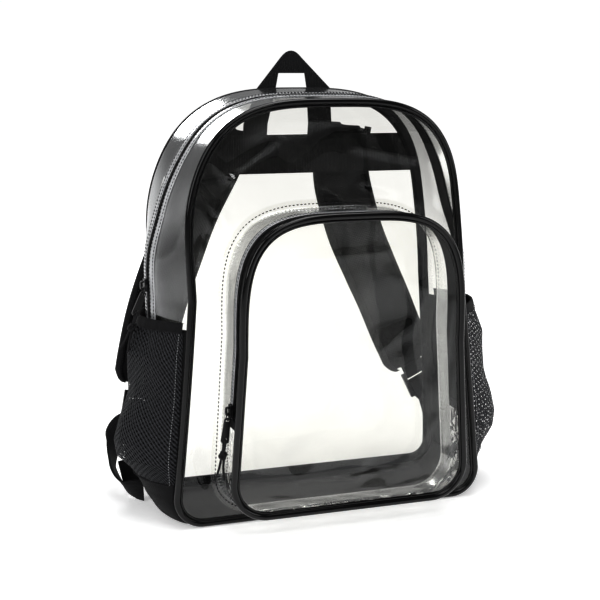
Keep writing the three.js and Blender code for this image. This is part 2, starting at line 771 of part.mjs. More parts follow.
function haulLoop() {
  const shape = new THREE.Shape();
  const half = haul.legWidth / 2;
  const footTop = back.topZ;
  const left = [-1, 1].map((end) => haul.leftFoot + end * haul.leftFootWidth / 2);
  const right = [-1, 1].map((end) => haul.rightFoot + end * haul.rightFootWidth / 2);
  const slopeZ = haul.apexZ - haul.slopeDrop;
  shape.moveTo(haul.leftLeg - half, haul.legEndZ);
  shape.lineTo(haul.leftLeg + half, haul.legEndZ);
  shape.lineTo(haul.leftLeg + half, haul.bendZ);
  shape.lineTo(left[1], footTop);
  shape.lineTo(haul.openingLeft, haul.openingZ);
  shape.lineTo(haul.openingRight, haul.openingZ);
  shape.lineTo(right[0], footTop);
  shape.lineTo(haul.rightLeg - half, haul.bendZ);
  shape.lineTo(haul.rightLeg - half, haul.legEndZ);
  shape.lineTo(haul.rightLeg + half, haul.legEndZ);
  shape.lineTo(haul.rightLeg + half, haul.bendZ);
  shape.lineTo(right[1], footTop);
  shape.lineTo(haul.apexX + haul.slopeRight, slopeZ);
  shape.quadraticCurveTo(haul.apexX, haul.apexZ + haul.slopeDrop, haul.apexX - haul.slopeLeft, slopeZ);
  shape.lineTo(left[0], footTop);
  shape.lineTo(haul.leftLeg - half, haul.bendZ);
  shape.closePath();
  add('haul_loop', backPlate(shape, legOut, webbing), webBlack);
}

// A ribbon or pad along a line of points, with the direction across it at each
function ribbon(points, across, section) {
  const count = points.length;
  return bar(count, section(0).length, (r, k) => {
    const before = points[Math.max(0, r - 1)];
    const after = points[Math.min(count - 1, r + 1)];
    const run = after.clone().sub(before).normalize();
    const wide = across[r].clone().addScaledVector(run, -across[r].dot(run)).normalize();
    const thick = run.clone().cross(wide);
    const [w, t] = section(r / (count - 1))[k];
    return points[r].clone().addScaledVector(wide, w).addScaledVector(thick, t);
  });
}

const flatSection = (wide, thick) => [
  [-wide / 2, -thick / 2],
  [wide / 2, -thick / 2],
  [wide / 2, thick / 2],
  [-wide / 2, thick / 2],
];

function strapCentre(table, side, t) {
  const top = table[0].z;
  const end = table[table.length - 1].z;
  const height = mix(top, end, t);
  const z = height * front.topZ;
  const thick = strapThickness(t);
  const bow = strap.bow * Math.max(0, read(table, 'z', 'bow', height));
  return vector(side * back.baseHalf * read(table, 'z', 'x', height) + lean(z),
    backY(z) + strapOut + thick / 2 + bow, z);
}

const strapThickness = (t) => mix(strap.sewnThickness, strap.thickness, clamp(t / strap.sewnShare - 1, 0, 1));

function shoulderStrap(name, table, side) {
  const rows = 17;
  const points = range(0, rows - 1).map((k) => strapCentre(table, side, k / (rows - 1)));
  const across = points.map(() => vector(1, 0, 0));
  const length = points.reduce((sum, p, k) => (k ? sum + p.distanceTo(points[k - 1]) : 0), 0);
  const section = (t) => {
    const left = (1 - t) * length;
    const wide = mix(strap.endWidth, strap.width, clamp(left / strap.tipLength, 0, 1) ** 0.6) / 2;
    const thick = strapThickness(t) / 2;
    return [
      [-wide, -thick * 0.35], [-wide * 0.86, -thick], [wide * 0.86, -thick], [wide, -thick * 0.35],
      [wide, thick * 0.35], [wide * 0.86, thick], [-wide * 0.86, thick], [-wide, thick * 0.35],
    ];
  };
  add(name, ribbon(points, across, section), fabricBlack);
  const end = points[rows - 1];
  const run = end.clone().sub(points[rows - 2]).normalize();
  const wide = vector(1, 0, 0).addScaledVector(run, -run.x).normalize();
  const out = wide.clone().cross(run);
  if (out.y < 0) {
    out.negate();
  }
  return { origin: end, run, wide, out };
}

// A ladder lock at a strap's end, the webbing loop that holds it, and the adjusting webbing
// from the anchor tab up round its middle bar and down again as a free tail
function strapEnd(name, side, frame) {
  const at = (a, b, c) => frame.origin.clone().addScaledVector(frame.wide, b)
    .addScaledVector(frame.run, a).addScaledVector(frame.out, c);
  const basis = new THREE.Matrix4().makeBasis(frame.wide, frame.run, frame.out).setPosition(at(0, 0, 0));
  const shape = new THREE.Shape();
  const half = buckle.width / 2;
  const from = buckle.lead;
  const to = from + buckle.length;
  shape.moveTo(-half, from);
  shape.lineTo(half, from);
  shape.lineTo(half, to);
  shape.lineTo(-half, to);
  shape.closePath();
  const slotTall = (buckle.length - 3 * buckle.bar) / 2;
  for (const low of [from + buckle.bar, from + 2 * buckle.bar + slotTall]) {
    const slot = new THREE.Path();
    slot.moveTo(-buckle.slotWidth / 2, low);
    slot.lineTo(-buckle.slotWidth / 2, low + slotTall);
    slot.lineTo(buckle.slotWidth / 2, low + slotTall);
    slot.lineTo(buckle.slotWidth / 2, low);
    slot.closePath();
    shape.holes.push(slot);
  }
  const plate = new THREE.ExtrudeGeometry(shape, { depth: buckle.thickness, bevelEnabled: false });
  plate.translate(0, 0, -buckle.thickness / 2);
  plate.applyMatrix4(basis);
  add(`strap_buckle_${name}`, clean(plate), plasticBlack);

  // A turn of webbing round a bar: how far it stands off the bar's middle, and its corner
  const turnOut = buckle.thickness / 2 + gap + webbing / 2 + turnEase;
  const turnReach = buckle.bar / 2 + gap + webbing / 2 + 2 * turnEase + gap;
  const turnCorner = [turnReach * 0.7, turnOut * 0.92];
  const barMiddle = from + buckle.bar / 2;
  const holder = [
    [gap, turnOut],
    [barMiddle, turnOut],
    [barMiddle + turnCorner[0], turnCorner[1]],
    [barMiddle + turnReach, 0],
    [barMiddle + turnCorner[0], -turnCorner[1]],
    [barMiddle, -turnOut],
    [gap, -turnOut],
  ].map(([a, c]) => at(a, 0, c));
  add(`buckle_loop_${name}`, ribbon(holder, holder.map(() => frame.wide), () => flatSection(webWidth, webbing)),
    webBlack);

  const middleBar = from + buckle.bar + slotTall + buckle.bar / 2;
  const tabFace = backY(anchorTab.high) + bindingOutside + gap + fabric;
  const tab = vector(side * (anchorTab.inner + webStart.fromInner), tabFace + gap * 2 + webbing / 2,
    anchorTab.low + webStart.fromLow);
  const tabAcross = vector(1, 0, side * 0.2);
  const route = [
    [tab, tabAcross],
    [tab.clone().add(vector(-side * webStart.inward, webStart.off, webStart.rise)), tabAcross],
    [at(to + webLead.beyond, 0, -turnOut - webLead.off), frame.wide],
    [at(to - webLead.inside, 0, -turnOut), frame.wide],
    [at(middleBar + 1, 0, -turnOut), frame.wide],
    [at(middleBar - turnCorner[0], 0, -turnCorner[1]), frame.wide],
    [at(middleBar - turnReach, 0, 0), frame.wide],
    [at(middleBar - turnCorner[0], 0, turnCorner[1]), frame.wide],
    [at(middleBar + 1, 0, turnOut), frame.wide],
    [at(to - webLead.inside, 0, turnOut), frame.wide],
  ];
  for (const { x, y, z, across } of tailRoute) {
    route.push([vector(side * x * back.baseHalf, y * depth / 2, z * webWidth),
      vector(across[0], side * across[1], side * across[2])]);
  }
  const line = new THREE.CatmullRomCurve3(route.map(([p]) => p), false, 'centripetal');
  const perSpan = 2;
  const count = (route.length - 1) * perSpan + 1;
  const points = range(0, count - 1).map((k) => line.getPoint(k / (count - 1)));
  const across = range(0, count - 1).map((k) => {
    const low = Math.min(route.length - 2, Math.floor(k / perSpan));
    return route[low][1].clone().lerp(route[low + 1][1], k / perSpan - low).normalize();
  });
  add(`strap_webbing_${name}`, ribbon(points, across, () => flatSection(webWidth, webbing)), webBlack);

  const triangle = new THREE.Shape();
  triangle.moveTo(side * anchorTab.inner, anchorTab.low);
  triangle.lineTo(side * anchorTab.inner, anchorTab.high);
  triangle.lineTo(side * anchorTab.tipX, anchorTab.tipHigh);
  triangle.lineTo(side * (anchorTab.tipX - anchorTab.tipSlant), anchorTab.tipLow);
  triangle.closePath();
  add(`anchor_tab_${name}`, backPlate(triangle, bindingOutside + gap, fabric), fabricBlack);
}

// A zip slider with its bridge, in its own frame: X across the zip, Y up it, Z off it
function sliderBody() {
  const outline = new THREE.Shape();
  const half = slider.width / 2;
  const long = slider.length / 2;
  outline.moveTo(-half * 0.6, -long);
  outline.lineTo(half * 0.6, -long);
  outline.lineTo(half, long * 0.2);
  outline.lineTo(half * 0.8, long);
  outline.lineTo(-half * 0.8, long);
  outline.lineTo(-half, long * 0.2);
  outline.closePath();
  const body = new THREE.ExtrudeGeometry(outline, { depth: slider.height, bevelEnabled: false });
  const arch = new THREE.Shape();
  const rise = slider.bridgeRise;
  const thin = slider.bridgeWall;
  const reach = slider.bridgeReach;
  const sunk = 1;
  arch.moveTo(-reach, -sunk);
  arch.lineTo(-reach, rise * 0.6);
  arch.quadraticCurveTo(-reach, rise, -reach * 0.4, rise);
  arch.lineTo(reach * 0.4, rise);
  arch.quadraticCurveTo(reach, rise, reach, rise * 0.6);
  arch.lineTo(reach, -sunk);
  arch.lineTo(reach - thin, -sunk);
  arch.lineTo(reach - thin, rise - thin);
  arch.lineTo(thin - reach, rise - thin);
  arch.lineTo(thin - reach, -sunk);
  arch.closePath();
  const bridge = new THREE.ExtrudeGeometry(arch, { depth: slider.bridgeWidth, bevelEnabled: false, curveSegments: 3 });
  bridge.translate(0, 0, -slider.bridgeWidth / 2);
  bridge.applyMatrix4(new THREE.Matrix4().makeBasis(vector(0, 1, 0), vector(0, 0, 1), vector(1, 0, 0)));
  bridge.translate(0, 0, slider.height);
  return fromSolid(toSolid(body).add(toSolid(bridge)));
}

// A pull tab that hangs down its own Y axis, with a slot above and a hole below
const holeDown = pull.length - pull.width / 2;
const slotMiddle = pull.slotDown + pull.slotTall / 2;

function pullTab() {
  const shape = new THREE.Shape();
  const half = pull.width / 2;
  const low = -pull.length;
  shape.moveTo(-half, low + half * 0.7);
  shape.quadraticCurveTo(-half, low, 0, low);
  shape.quadraticCurveTo(half, low, half, low + half * 0.7);
  shape.lineTo(half * 0.8, -half);
  shape.quadraticCurveTo(half * 0.8, 0, half * 0.4, 0);
  shape.lineTo(-half * 0.4, 0);
  shape.quadraticCurveTo(-half * 0.8, 0, -half * 0.8, -half);
  shape.closePath();
  const hole = new THREE.Path();
  hole.absarc(0, -holeDown, pull.hole, 0, 2 * Math.PI, true);
  const slot = new THREE.Path();
  const slotHalf = pull.slotWide / 2;
  slot.moveTo(-slotHalf, -pull.slotDown);
  slot.lineTo(-slotHalf, -pull.slotDown - pull.slotTall);
  slot.lineTo(slotHalf, -pull.slotDown - pull.slotTall);
  slot.lineTo(slotHalf, -pull.slotDown);
  slot.closePath();
  shape.holes.push(hole, slot);
  const tab = new THREE.ExtrudeGeometry(shape, { depth: pull.thickness, bevelEnabled: false, curveSegments: 3 });
  tab.translate(0, 0, -pull.thickness / 2);
  return tab;
}

function tube(points, diameter, stepCount) {
  const ring = new THREE.Shape();
  for (let k = 0; k < cordSides; k += 1) {
    const turn = (k / cordSides) * 2 * Math.PI;
    const [x, y] = [diameter / 2 * Math.cos(turn), diameter / 2 * Math.sin(turn)];
    if (k) {
      ring.lineTo(x, y);
    } else {
      ring.moveTo(x, y);
    }
  }
  ring.closePath();
  const line = new THREE.CatmullRomCurve3(points);
  return new THREE.ExtrudeGeometry(ring, { steps: stepCount, extrudePath: line, bevelEnabled: false });
}

// The cord in a pull tab, in the tab's own frame: a loop through the hole, a knot, two tails
function cordPieces() {
  const off = pull.thickness / 2 + gap + cord.diameter / 2;
  const legs = [
    [-cord.loop, cord.diameter / 2 + gap / 2],
    [-cord.loop * 0.5, off],
    [-off * 0.8, off],
    [-off * 0.1, off * 0.72],
    [pull.hole - cord.diameter / 2 - gap, 0],
  ];
  const front = legs.map(([y, z]) => vector(0, y - holeDown, z));
  const rear = legs.slice(0, -1).reverse().map(([y, z]) => vector(0, y - holeDown, -z));
  const knotTop = -holeDown - cord.loop - gap;
  const knot = new THREE.SphereGeometry(1, 8, 6);
  knot.scale(cord.knotWide / 2, cord.knotTall / 2, cord.knotWide / 2);
  knot.translate(0, knotTop - cord.knotTall / 2, 0);
  const tailTop = knotTop - cord.knotTall - gap;
  const tail = (side) => tube([
    vector(side * cord.diameter * 0.55, tailTop, 0),
    vector(side * (cord.diameter * 0.55 + cord.spread * 0.3), tailTop - cord.tail * 0.5, 0),
    vector(side * (cord.diameter * 0.55 + cord.spread), tailTop - cord.tail, 0),
  ], cord.diameter, 4);
  return { loop: tube([...front, ...rear], cord.diameter, 14), knot, tails: [tail(-1), tail(1)] };
}

// A zip slider, its link ring, pull tab and cord, set in a frame on top of the coil
function zipPull(name, frame, tiltDegrees) {
  const toPart = new THREE.Matrix4().makeBasis(frame.across, frame.up, frame.out).setPosition(frame.origin);
  const linkTop = -slider.bridgeReach + slider.bridgeWall + gap + link.wire;
  const linkOff = slider.height + (slider.bridgeRise - slider.bridgeWall) / 2;
  const ring = new THREE.TorusGeometry(link.radius, link.wire, 5, 12);
  ring.translate(0, linkTop - link.radius, linkOff);
  const hang = new THREE.Matrix4().makeTranslation(0, linkTop - 2 * link.radius, linkOff)
    .multiply(new THREE.Matrix4().makeRotationX(-tiltDegrees * Math.PI / 180))
    .multiply(new THREE.Matrix4().makeBasis(vector(0, 0, 1), vector(0, 1, 0), vector(-1, 0, 0)))
    .multiply(new THREE.Matrix4().makeTranslation(0, slotMiddle, 0));
  const put = (part, geometry, matrices, material) => {
    for (const matrix of matrices) {
      geometry.applyMatrix4(matrix);
    }
    add(`${name}_${part}`, clean(geometry), material);
  };
  const { loop, knot, tails } = cordPieces();
  put('slider', sliderBody(), [toPart], metalBlack);
  put('pull_link', ring, [toPart], metalBlack);
  put('pull_tab', pullTab(), [hang, toPart], plasticBlack);
  put('pull_cord', loop, [hang, toPart], cordBlack);
  put('pull_knot', knot, [hang, toPart], cordBlack);
  put('pull_tail_inner', tails[0], [hang, toPart], cordBlack);
  put('pull_tail_outer', tails[1], [hang, toPart], cordBlack);
}

const mainSliderPlace = waist + 0.25;
const pocketSliderPlace = pocketPlaceAt(pocketZipEndZ + 9);

function frameOn(point, place) {
  const origin = point(place, coilHeight + gap + sliderRide);
  const up = point(place - 0.1, 0).sub(point(place + 0.1, 0)).normalize();
  const out = point(place, 1).sub(point(place, 0));
  out.addScaledVector(up, -out.dot(up)).normalize();
  return { origin, up, out, across: up.clone().cross(out) };
}

bodyTrim();
gusset();
bodyPanels();
const pocketCoil = frontPocket();
sidePockets();
yokeBand();
haulLoop();
strapEnd('right', 1, shoulderStrap('shoulder_strap_right', rightStrap, 1));
strapEnd('left', -1, shoulderStrap('shoulder_strap_left', leftStrap, -1));
zipPull('main', frameOn((place, outward) => bodyPoint(place, 0.5, outward), loopCount - mainSliderPlace), mainPullTilt);
zipPull('pocket', frameOn((place, outward) => pocketPoint(place, pocketCoil, outward), loopCount - pocketSliderPlace),
  pocketPullTilt);

export default model;
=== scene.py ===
"""The looks of a clear stadium backpack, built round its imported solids.

The solids are loaded as a fixed frame, each soft piece is made again in fine mesh on the same
sizes, and a plain pale stage is set round it. Sizes in the tables are in millimetres, and the
sizes in the property groups are in metres.
"""

import math

import bmesh
import bpy
import numpy as np
from mathutils import Matrix, Vector, noise


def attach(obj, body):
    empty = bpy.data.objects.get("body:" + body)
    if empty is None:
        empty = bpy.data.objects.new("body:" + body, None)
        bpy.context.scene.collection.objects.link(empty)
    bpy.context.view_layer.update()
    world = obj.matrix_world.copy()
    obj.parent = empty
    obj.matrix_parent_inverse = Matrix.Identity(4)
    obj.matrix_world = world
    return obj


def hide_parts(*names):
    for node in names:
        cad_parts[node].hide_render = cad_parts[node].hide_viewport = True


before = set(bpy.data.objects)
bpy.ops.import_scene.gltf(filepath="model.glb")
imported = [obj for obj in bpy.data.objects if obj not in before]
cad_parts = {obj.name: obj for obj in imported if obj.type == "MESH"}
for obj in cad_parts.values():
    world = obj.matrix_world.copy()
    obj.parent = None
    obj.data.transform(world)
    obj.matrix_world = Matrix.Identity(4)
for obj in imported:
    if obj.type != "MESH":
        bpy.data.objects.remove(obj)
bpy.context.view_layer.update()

MM = 0.001

bl_info = {
    "name": "Clear Stadium Backpack",
    "version": (1, 0, 0),
    "blender": (4, 5, 0),
    "location": "3D View > Sidebar > Backpack",
    "description": "Dresses the solids of a clear backpack in film, piping, zips, mesh and padding",
    "category": "Object",
}

# Sizes of the bag, in millimetres, as its solids have them
DEPTH = 120.0
DEPTH_LOST_AT_TOP = 4.0
SEAM_LIFT = 3.9
SEAM_LIFT_WIDTH = 9.0
FRONT = {"base": 168.0, "waist": 148.0, "waist_z": 235.0, "top": 430.0, "corner": 28.0,
         "power": 3.4}
BACK = {"base": 172.0, "waist": 163.0, "waist_z": 235.0, "top": 442.0, "corner": 28.0,
        "power": 3.1}
SIDE_SWELL = 22.0
SLUMP = 7.0
PIPING = 3.4
BINDING = 10.4
ZIP_WIDTH = 30.0
COIL_HEIGHT = 1.8
SEAT = {"base": 124.0, "waist": 115.0, "waist_z": 200.0, "top": 324.0, "low": 20.0,
        "corner": 34.0, "power": 3.6}
FACE = {"base": 124.5, "waist": 116.0, "waist_z": 189.0, "top": 322.0, "low": 24.0,
        "corner": 36.0, "power": 3.6}
POCKET_DEPTH = (56.0, 66.0)
POCKET_FLANGE = 9.0
POCKET_ZIP_WIDTH = 26.0
POCKET_ZIP_END_Z = 122.0
POCKET_ZIP_STOP = 9.0
SIDE_POCKET_TOP = 213.0
SIDE_POCKET_BAND = 11.0
SIDE_POCKET_SOLID = 46.0
SIDE_POCKET_PUFF = 41.0
SIDE_POCKET_SEAM = 6.0
YOKE = (350.0, 392.0)
STRAP = {"width": 64.0, "end": 46.0, "thick": 9.0, "sewn": 5.0, "sewn_share": 0.12,
         "bow": 34.0, "tip": 14.0}
GAP = 0.3
FABRIC = 1.6
BINDING_OUT = 2.4
WEB_WIDTH = 25.0
WEB_THICK = 1.8
BUCKLE = {"thick": 4.0, "lead": 8.0, "length": 30.0, "bar": 4.2}
SLIDER = {"height": 2.8, "bridge_rise": 3.9, "bridge_wall": 1.6, "bridge_reach": 4.4, "ride": 0.7}
LINK = {"radius": 3.8, "wire": 0.6}
TAB = {"thick": 2.2, "slot": 2.55, "hole": 22.0}
CORD_WIDTH = 2.4
KNOT = {"down": 12.3, "tall": 7.8, "round": 2.5, "wave": 0.9, "rise": 3.2}
TAIL_LENGTH = 21.0

# Places round a loop: the floor's middle is 0, and each stretch has this many steps
CORNER_TOP = 5
WAIST = 9
CROWN = 20
LOOP = 40
ARCH_CROWDING = 0.08
FILM_LOW = 8.43
OVER_TOP = np.linspace(FILM_LOW, LOOP - FILM_LOW, 250)
RING = np.linspace(0, LOOP, 360, endpoint=False)
# How far inside its seam a panel's rim lies, and how far along a loop its direction is read
PANEL_INSET = PIPING * 0.7
LOOK_ALONG = 0.06
SEAT_Y = -DEPTH / 2 - 0.9


class Curve:
    """A smooth curve through a short table of places and values."""

    def __init__(self, *rows):
        self.at, self.value = np.array(rows, float).T
        before = np.maximum(np.arange(len(rows)) - 1, 0)
        after = np.minimum(np.arange(len(rows)) + 1, len(rows) - 1)
        self.slope = (self.value[after] - self.value[before]) / (self.at[after] - self.at[before])

    def __call__(self, place):
        place = np.clip(place, self.at[0], self.at[-1])
        low = np.clip(np.searchsorted(self.at, place, "right") - 1, 0, len(self.at) - 2)
        span = self.at[low + 1] - self.at[low]
        t = (place - self.at[low]) / span
        square, cube = t * t, t * t * t
        start = (2 * cube - 3 * square + 1) * self.value[low]
        leave = (cube - 2 * square + t) * span * self.slope[low]
        end = (3 * square - 2 * cube) * self.value[low + 1]
        arrive = (cube - square) * span * self.slope[low + 1]
        return (start + leave) + (end + arrive)


# Heights as shares of the front's height against shifts, swells, places across and bows
LEAN = Curve((0, 0), (0.3, 0), (0.55, -0.3), (0.74, -0.9), (0.88, -0.5), (1, 0))
SWELL = Curve((0, 0), (0.12, 0.36), (0.3, 0.55), (0.48, 0.92), (0.57, 1), (0.64, 0.88), (0.73, 0.42),
              (0.82, 0.14), (0.9, 0), (1.1, 0))
STRAP_ACROSS = {
    1: Curve((0.27, 0.93), (0.36, 0.83), (0.45, 0.74), (0.54, 0.64), (0.63, 0.54), (0.72, 0.45),
             (0.815, 0.36), (0.88, 0.345), (0.94, 0.36)),
    -1: Curve((0.27, 0.98), (0.36, 0.93), (0.45, 0.87), (0.54, 0.79), (0.63, 0.7), (0.72, 0.62),
              (0.815, 0.53), (0.88, 0.485), (0.94, 0.46)),
}
STRAP_BOW = Curve((0.27, 0.8), (0.36, 0.93), (0.45, 1), (0.54, 1), (0.63, 0.85), (0.72, 0.45),
                  (0.815, 0.03), (0.88, 0), (0.94, 0))
# The side pockets' belly: heights and puffs as shares of the pocket's own
PUFF = ((0.011, 0.02), (0.012, 0.4), (0.05, 0.27), (0.11, 0.27), (0.15, 0.32), (0.2, 0.45), (0.26, 0.7),
        (0.31, 0.93), (0.39, 1.0), (0.48, 0.9), (0.62, 0.62), (0.82, 0.54), (0.94, 0.26), (1.0, 0.18))


def mix(a, b, t):
    """From a to b by a share."""
    return a + (b - a) * t


def length_of(vectors):
    return np.linalg.norm(vectors, axis=-1, keepdims=True)


def unit(vectors):
    return vectors / np.maximum(length_of(vectors), 1e-12)


def back_y(z):
    """How far back the bag's back stands at a height."""
    return DEPTH / 2 - DEPTH_LOST_AT_TOP * z / FRONT["top"]


def lean(z):
    """How far the slumped bag leans to the right at a height."""
    return SLUMP * LEAN(z / FRONT["top"])


def swell(z):
    """How far the sides swell out at a height."""
    return SIDE_SWELL * SWELL(z / FRONT["top"])


def loop_point(spec, place):
    """Across and up on a loop whose sizes may differ from place to place."""
    wrapped = np.mod(place, LOOP)
    half = np.where(wrapped > CROWN, LOOP - wrapped, wrapped)
    base, waist, waist_z, top, low, corner, power = (
        spec[k] for k in ("base", "waist", "waist_z", "top", "low", "corner", "power"))
    turn = np.clip((half - 2) / 3, 0, 1) * math.pi / 2
    side = np.clip((half - CORNER_TOP) / (WAIST - CORNER_TOP), 0, 1)
    even = np.clip((half - WAIST) / (CROWN - WAIST), 0, 1) * math.pi / 2
    arch = even + ARCH_CROWDING * np.sin(4 * even)
    cosine, sine = np.maximum(np.cos(arch), 0), np.sin(arch)
    radius = (cosine ** power + sine ** power) ** (-1 / power)
    x = np.select(
        [half <= 2, half <= CORNER_TOP, half <= WAIST],
        [(base - corner) * half / 2, base - corner * (1 - np.sin(turn)), mix(base, waist, side)],
        waist * radius * cosine)
    z = np.select(
        [half <= 2, half <= CORNER_TOP, half <= WAIST],
        [low + 0 * half, low + corner * (1 - np.cos(turn)), mix(low + corner, waist_z, side)],
        mix(waist_z, top, radius * sine))
    return np.where(wrapped > CROWN, -x, x), z


def off_loop(skin, place, outward):
    """A point on a skin, pushed outwards in the plane across it."""
    x, z = skin(place)
    x0, z0 = skin(place - LOOK_ALONG)
    x1, z1 = skin(place + LOOK_ALONG)
    run = np.maximum(np.hypot(x1 - x0, z1 - z0), 1e-9)
    return x + (z1 - z0) / run * outward, z - (x1 - x0) / run * outward, z


def body_at(place, share, outward=0.0):
    """A point of the bag's skin: a place round it, a share of its depth, and a standing off."""
    place, share, outward = np.broadcast_arrays(*(np.asarray(v, float) for v in (place, share, outward)))
    spec = {k: mix(FRONT[k], BACK[k], share) for k in FRONT}
    spec["low"] = SEAM_LIFT * np.maximum(0, 1 - np.minimum(share, 1 - share) * DEPTH / SEAM_LIFT_WIDTH)
    pushed = np.sin(math.pi * np.clip(share, 0, 1))

    def skin(at):
        x, z = loop_point(spec, at)
        return x + np.sign(x) * pushed * swell(z) + lean(z), z

    x, z, skin_z = off_loop(skin, place, outward)
    return np.stack([x, mix(-DEPTH / 2, back_y(skin_z), share), z], -1)


def pocket_at(place, share, outward=0.0):
    """A point of the front pocket's skin, from its seat, share 0, to its face, share 1."""
    place, share, outward = np.broadcast_arrays(*(np.asarray(v, float) for v in (place, share, outward)))

    def skin(at):
        x0, z0 = loop_point(SEAT, at)
        x1, z1 = loop_point(FACE, at)
        return mix(x0, x1, share), mix(z0, z1, share)

    x, z, skin_z = off_loop(skin, place, outward)
    face_y = -DEPTH / 2 - mix(*POCKET_DEPTH, skin_z / FACE["top"])
    return np.stack([x, mix(SEAT_Y, face_y, share), z], -1)


def side_x(z, share):
    """How far across the bag's side stands at a height below the waist."""
    base = mix(FRONT["base"], BACK["base"], share)
    waist = mix(FRONT["waist"], BACK["waist"], share)
    low = SEAM_LIFT * np.maximum(0, 1 - np.minimum(share, 1 - share) * DEPTH / SEAM_LIFT_WIDTH)
    corner = FRONT["corner"]
    rise = np.clip((low + corner - z) / corner, 0, 1)
    round_x = base - corner * (1 - np.sqrt(1 - rise * rise))
    straight = mix(base, waist, (z - low - corner) / (FRONT["waist_z"] - low - corner))
    return np.where(z < low + corner, round_x, straight) + np.sin(math.pi * share) * swell(z)


def side_pocket_at(side, z, share, extra=0.0):
    """A point of a side pocket: it stands off the bag's side by its puff."""
    z, share = np.broadcast_arrays(np.asarray(z, float), np.asarray(share, float))
    start = SIDE_POCKET_SEAM / DEPTH
    t = np.clip((share - start) / (1 - 2 * start), 0, 1)
    heights, puffs = np.array(PUFF).T
    puff = SIDE_POCKET_PUFF * np.interp(z / SIDE_POCKET_TOP, heights, puffs)
    off = 0.55 + puff * np.sin(math.pi * t) ** 0.62 + extra
    x = side * (side_x(z, share) + off) + lean(z)
    return np.stack([x, mix(-DEPTH / 2, back_y(z), share), z], -1)


# Meshes from grids of points
def mesh_piece(name, points, faces, uvs):
    """A new smooth object at the origin from points in millimetres and faces, with its UV map."""
    mesh = bpy.data.meshes.new(name)
    mesh.from_pydata([tuple(p) for p in np.asarray(points, float) * MM], [], faces)
    layer = mesh.uv_layers.new(name="cloth")
    layer.data.foreach_set("uv", np.asarray(uvs, float).ravel())
    shade_smooth(mesh)
    mesh.update()
    return put_in_scene(name, mesh)


def shade_smooth(mesh):
    mesh.polygons.foreach_set("use_smooth", [True] * len(mesh.polygons))


def put_in_scene(name, data):
    piece = bpy.data.objects.new(name, data)
    bpy.context.scene.collection.objects.link(piece)
    return piece


def grid_piece(name, points, ring=False, flip=False, columns_ring=False):
    """A sheet of quads through a grid of points, with lengths in metres as its UV map."""
    rows, columns = points.shape[:2]
    middle = columns // 2
    loop = np.concatenate([points, points[:1]]) if ring else points
    u = np.concatenate([[0], np.cumsum(length_of(np.diff(loop[:, middle], axis=0))[:, 0])]) * MM
    wide = np.concatenate([points, points[:, :1]], 1) if columns_ring else points
    v = np.concatenate([[0], np.cumsum(length_of(np.diff(wide, axis=1))[..., 0].mean(0))]) * MM
    faces, uvs = [], []
    for r in range(rows if ring else rows - 1):
        for c in range(columns if columns_ring else columns - 1):
            q, s = (r + 1) % rows, (c + 1) % columns
            corners = [(r * columns + c, u[r], v[c]), (q * columns + c, u[r + 1], v[c]),
                       (q * columns + s, u[r + 1], v[c + 1]), (r * columns + s, u[r], v[c + 1])]
            if flip:
                corners.reverse()
            faces.append([corner[0] for corner in corners])
            uvs.extend(corner[1:] for corner in corners)
    return mesh_piece(name, points.reshape(-1, 3), faces, uvs)


def faces_inward(points, centre):
    """True where a grid's faces would point at a centre, so that they need turning round."""
    r, c = points.shape[0] // 3, points.shape[1] // 2
    along = points[r + 1, c] - points[r, c]
    across = points[r, min(c + 1, points.shape[1] - 1)] - points[r, max(c - 1, 0)]
    return float(np.dot(np.cross(along, across), points[r, c] - centre)) < 0


def skin_piece(name, points, ring=False, centre=(0, 0, 200)):
    """A sheet whose faces point away from a centre."""
    return grid_piece(name, points, ring=ring, flip=faces_inward(points, np.array(centre, float)))


def swept_piece(name, sections, ring=False):
    """A solid through rows of closed sections, with its faces outwards."""
    piece = grid_piece(name, sections, ring=ring, columns_ring=True)
    edit = bmesh.new()
    edit.from_mesh(piece.data)
    if not ring:
        rows, columns = sections.shape[:2]
        edit.verts.ensure_lookup_table()
        edit.faces.new([edit.verts[k] for k in range(columns)])
        edit.faces.new([edit.verts[(rows - 1) * columns + k] for k in range(columns)])
    bmesh.ops.recalc_face_normals(edit, faces=edit.faces)
    edit.to_mesh(piece.data)
    edit.free()
    return piece


def thicken(piece, thickness, outwards=False):
    """Gives a sheet its wall, inwards or outwards from its own face, and keeps it as plain mesh."""
    wall = piece.modifiers.new("wall", "SOLIDIFY")
    wall.thickness = thickness * MM
    wall.offset = 1.0 if outwards else -1.0
    return apply_modifiers(piece)


def apply_modifiers(piece):
    """Keeps a piece as its modifiers make it."""
    bpy.context.view_layer.update()
    shape = piece.evaluated_get(bpy.context.evaluated_depsgraph_get())
    made = bpy.data.meshes.new_from_object(shape)
    piece.modifiers.clear()
    piece.data = made
    return piece


def frames_along(points):
    """Unit directions along a line of points."""
    return unit(np.gradient(points, axis=0))


def smooth_line(points, count):
    """A smooth line through a few points, by Catmull and Rom's rule."""
    points = np.asarray(points, float)
    ends = np.concatenate([[2 * points[0] - points[1]], points, [2 * points[-1] - points[-2]]])
    out = []
    for t in np.linspace(0, len(points) - 1, count):
        k = min(int(t), len(points) - 2)
        f = t - k
        p = ends[k:k + 4]
        out.append(0.5 * (2 * p[1] + (p[2] - p[0]) * f + (2 * p[0] - 5 * p[1] + 4 * p[2] - p[3]) * f * f
                          + (3 * p[1] - p[0] - 3 * p[2] + p[3]) * f ** 3))
    return np.array(out)


def tube_sections(points, radius, sides, up, closed=False):
    """Round sections along a line, turned by a fixed side direction."""
    along = unit(np.roll(points, -1, 0) - np.roll(points, 1, 0)) if closed else frames_along(points)
    one = unit(np.cross(along, np.array(up, float)))
    two = np.cross(one, along)
    turn = np.linspace(0, 2 * math.pi, sides, endpoint=False)
    return (points[:, None] + radius * (np.cos(turn)[None, :, None] * one[:, None]
                                        + np.sin(turn)[None, :, None] * two[:, None]))


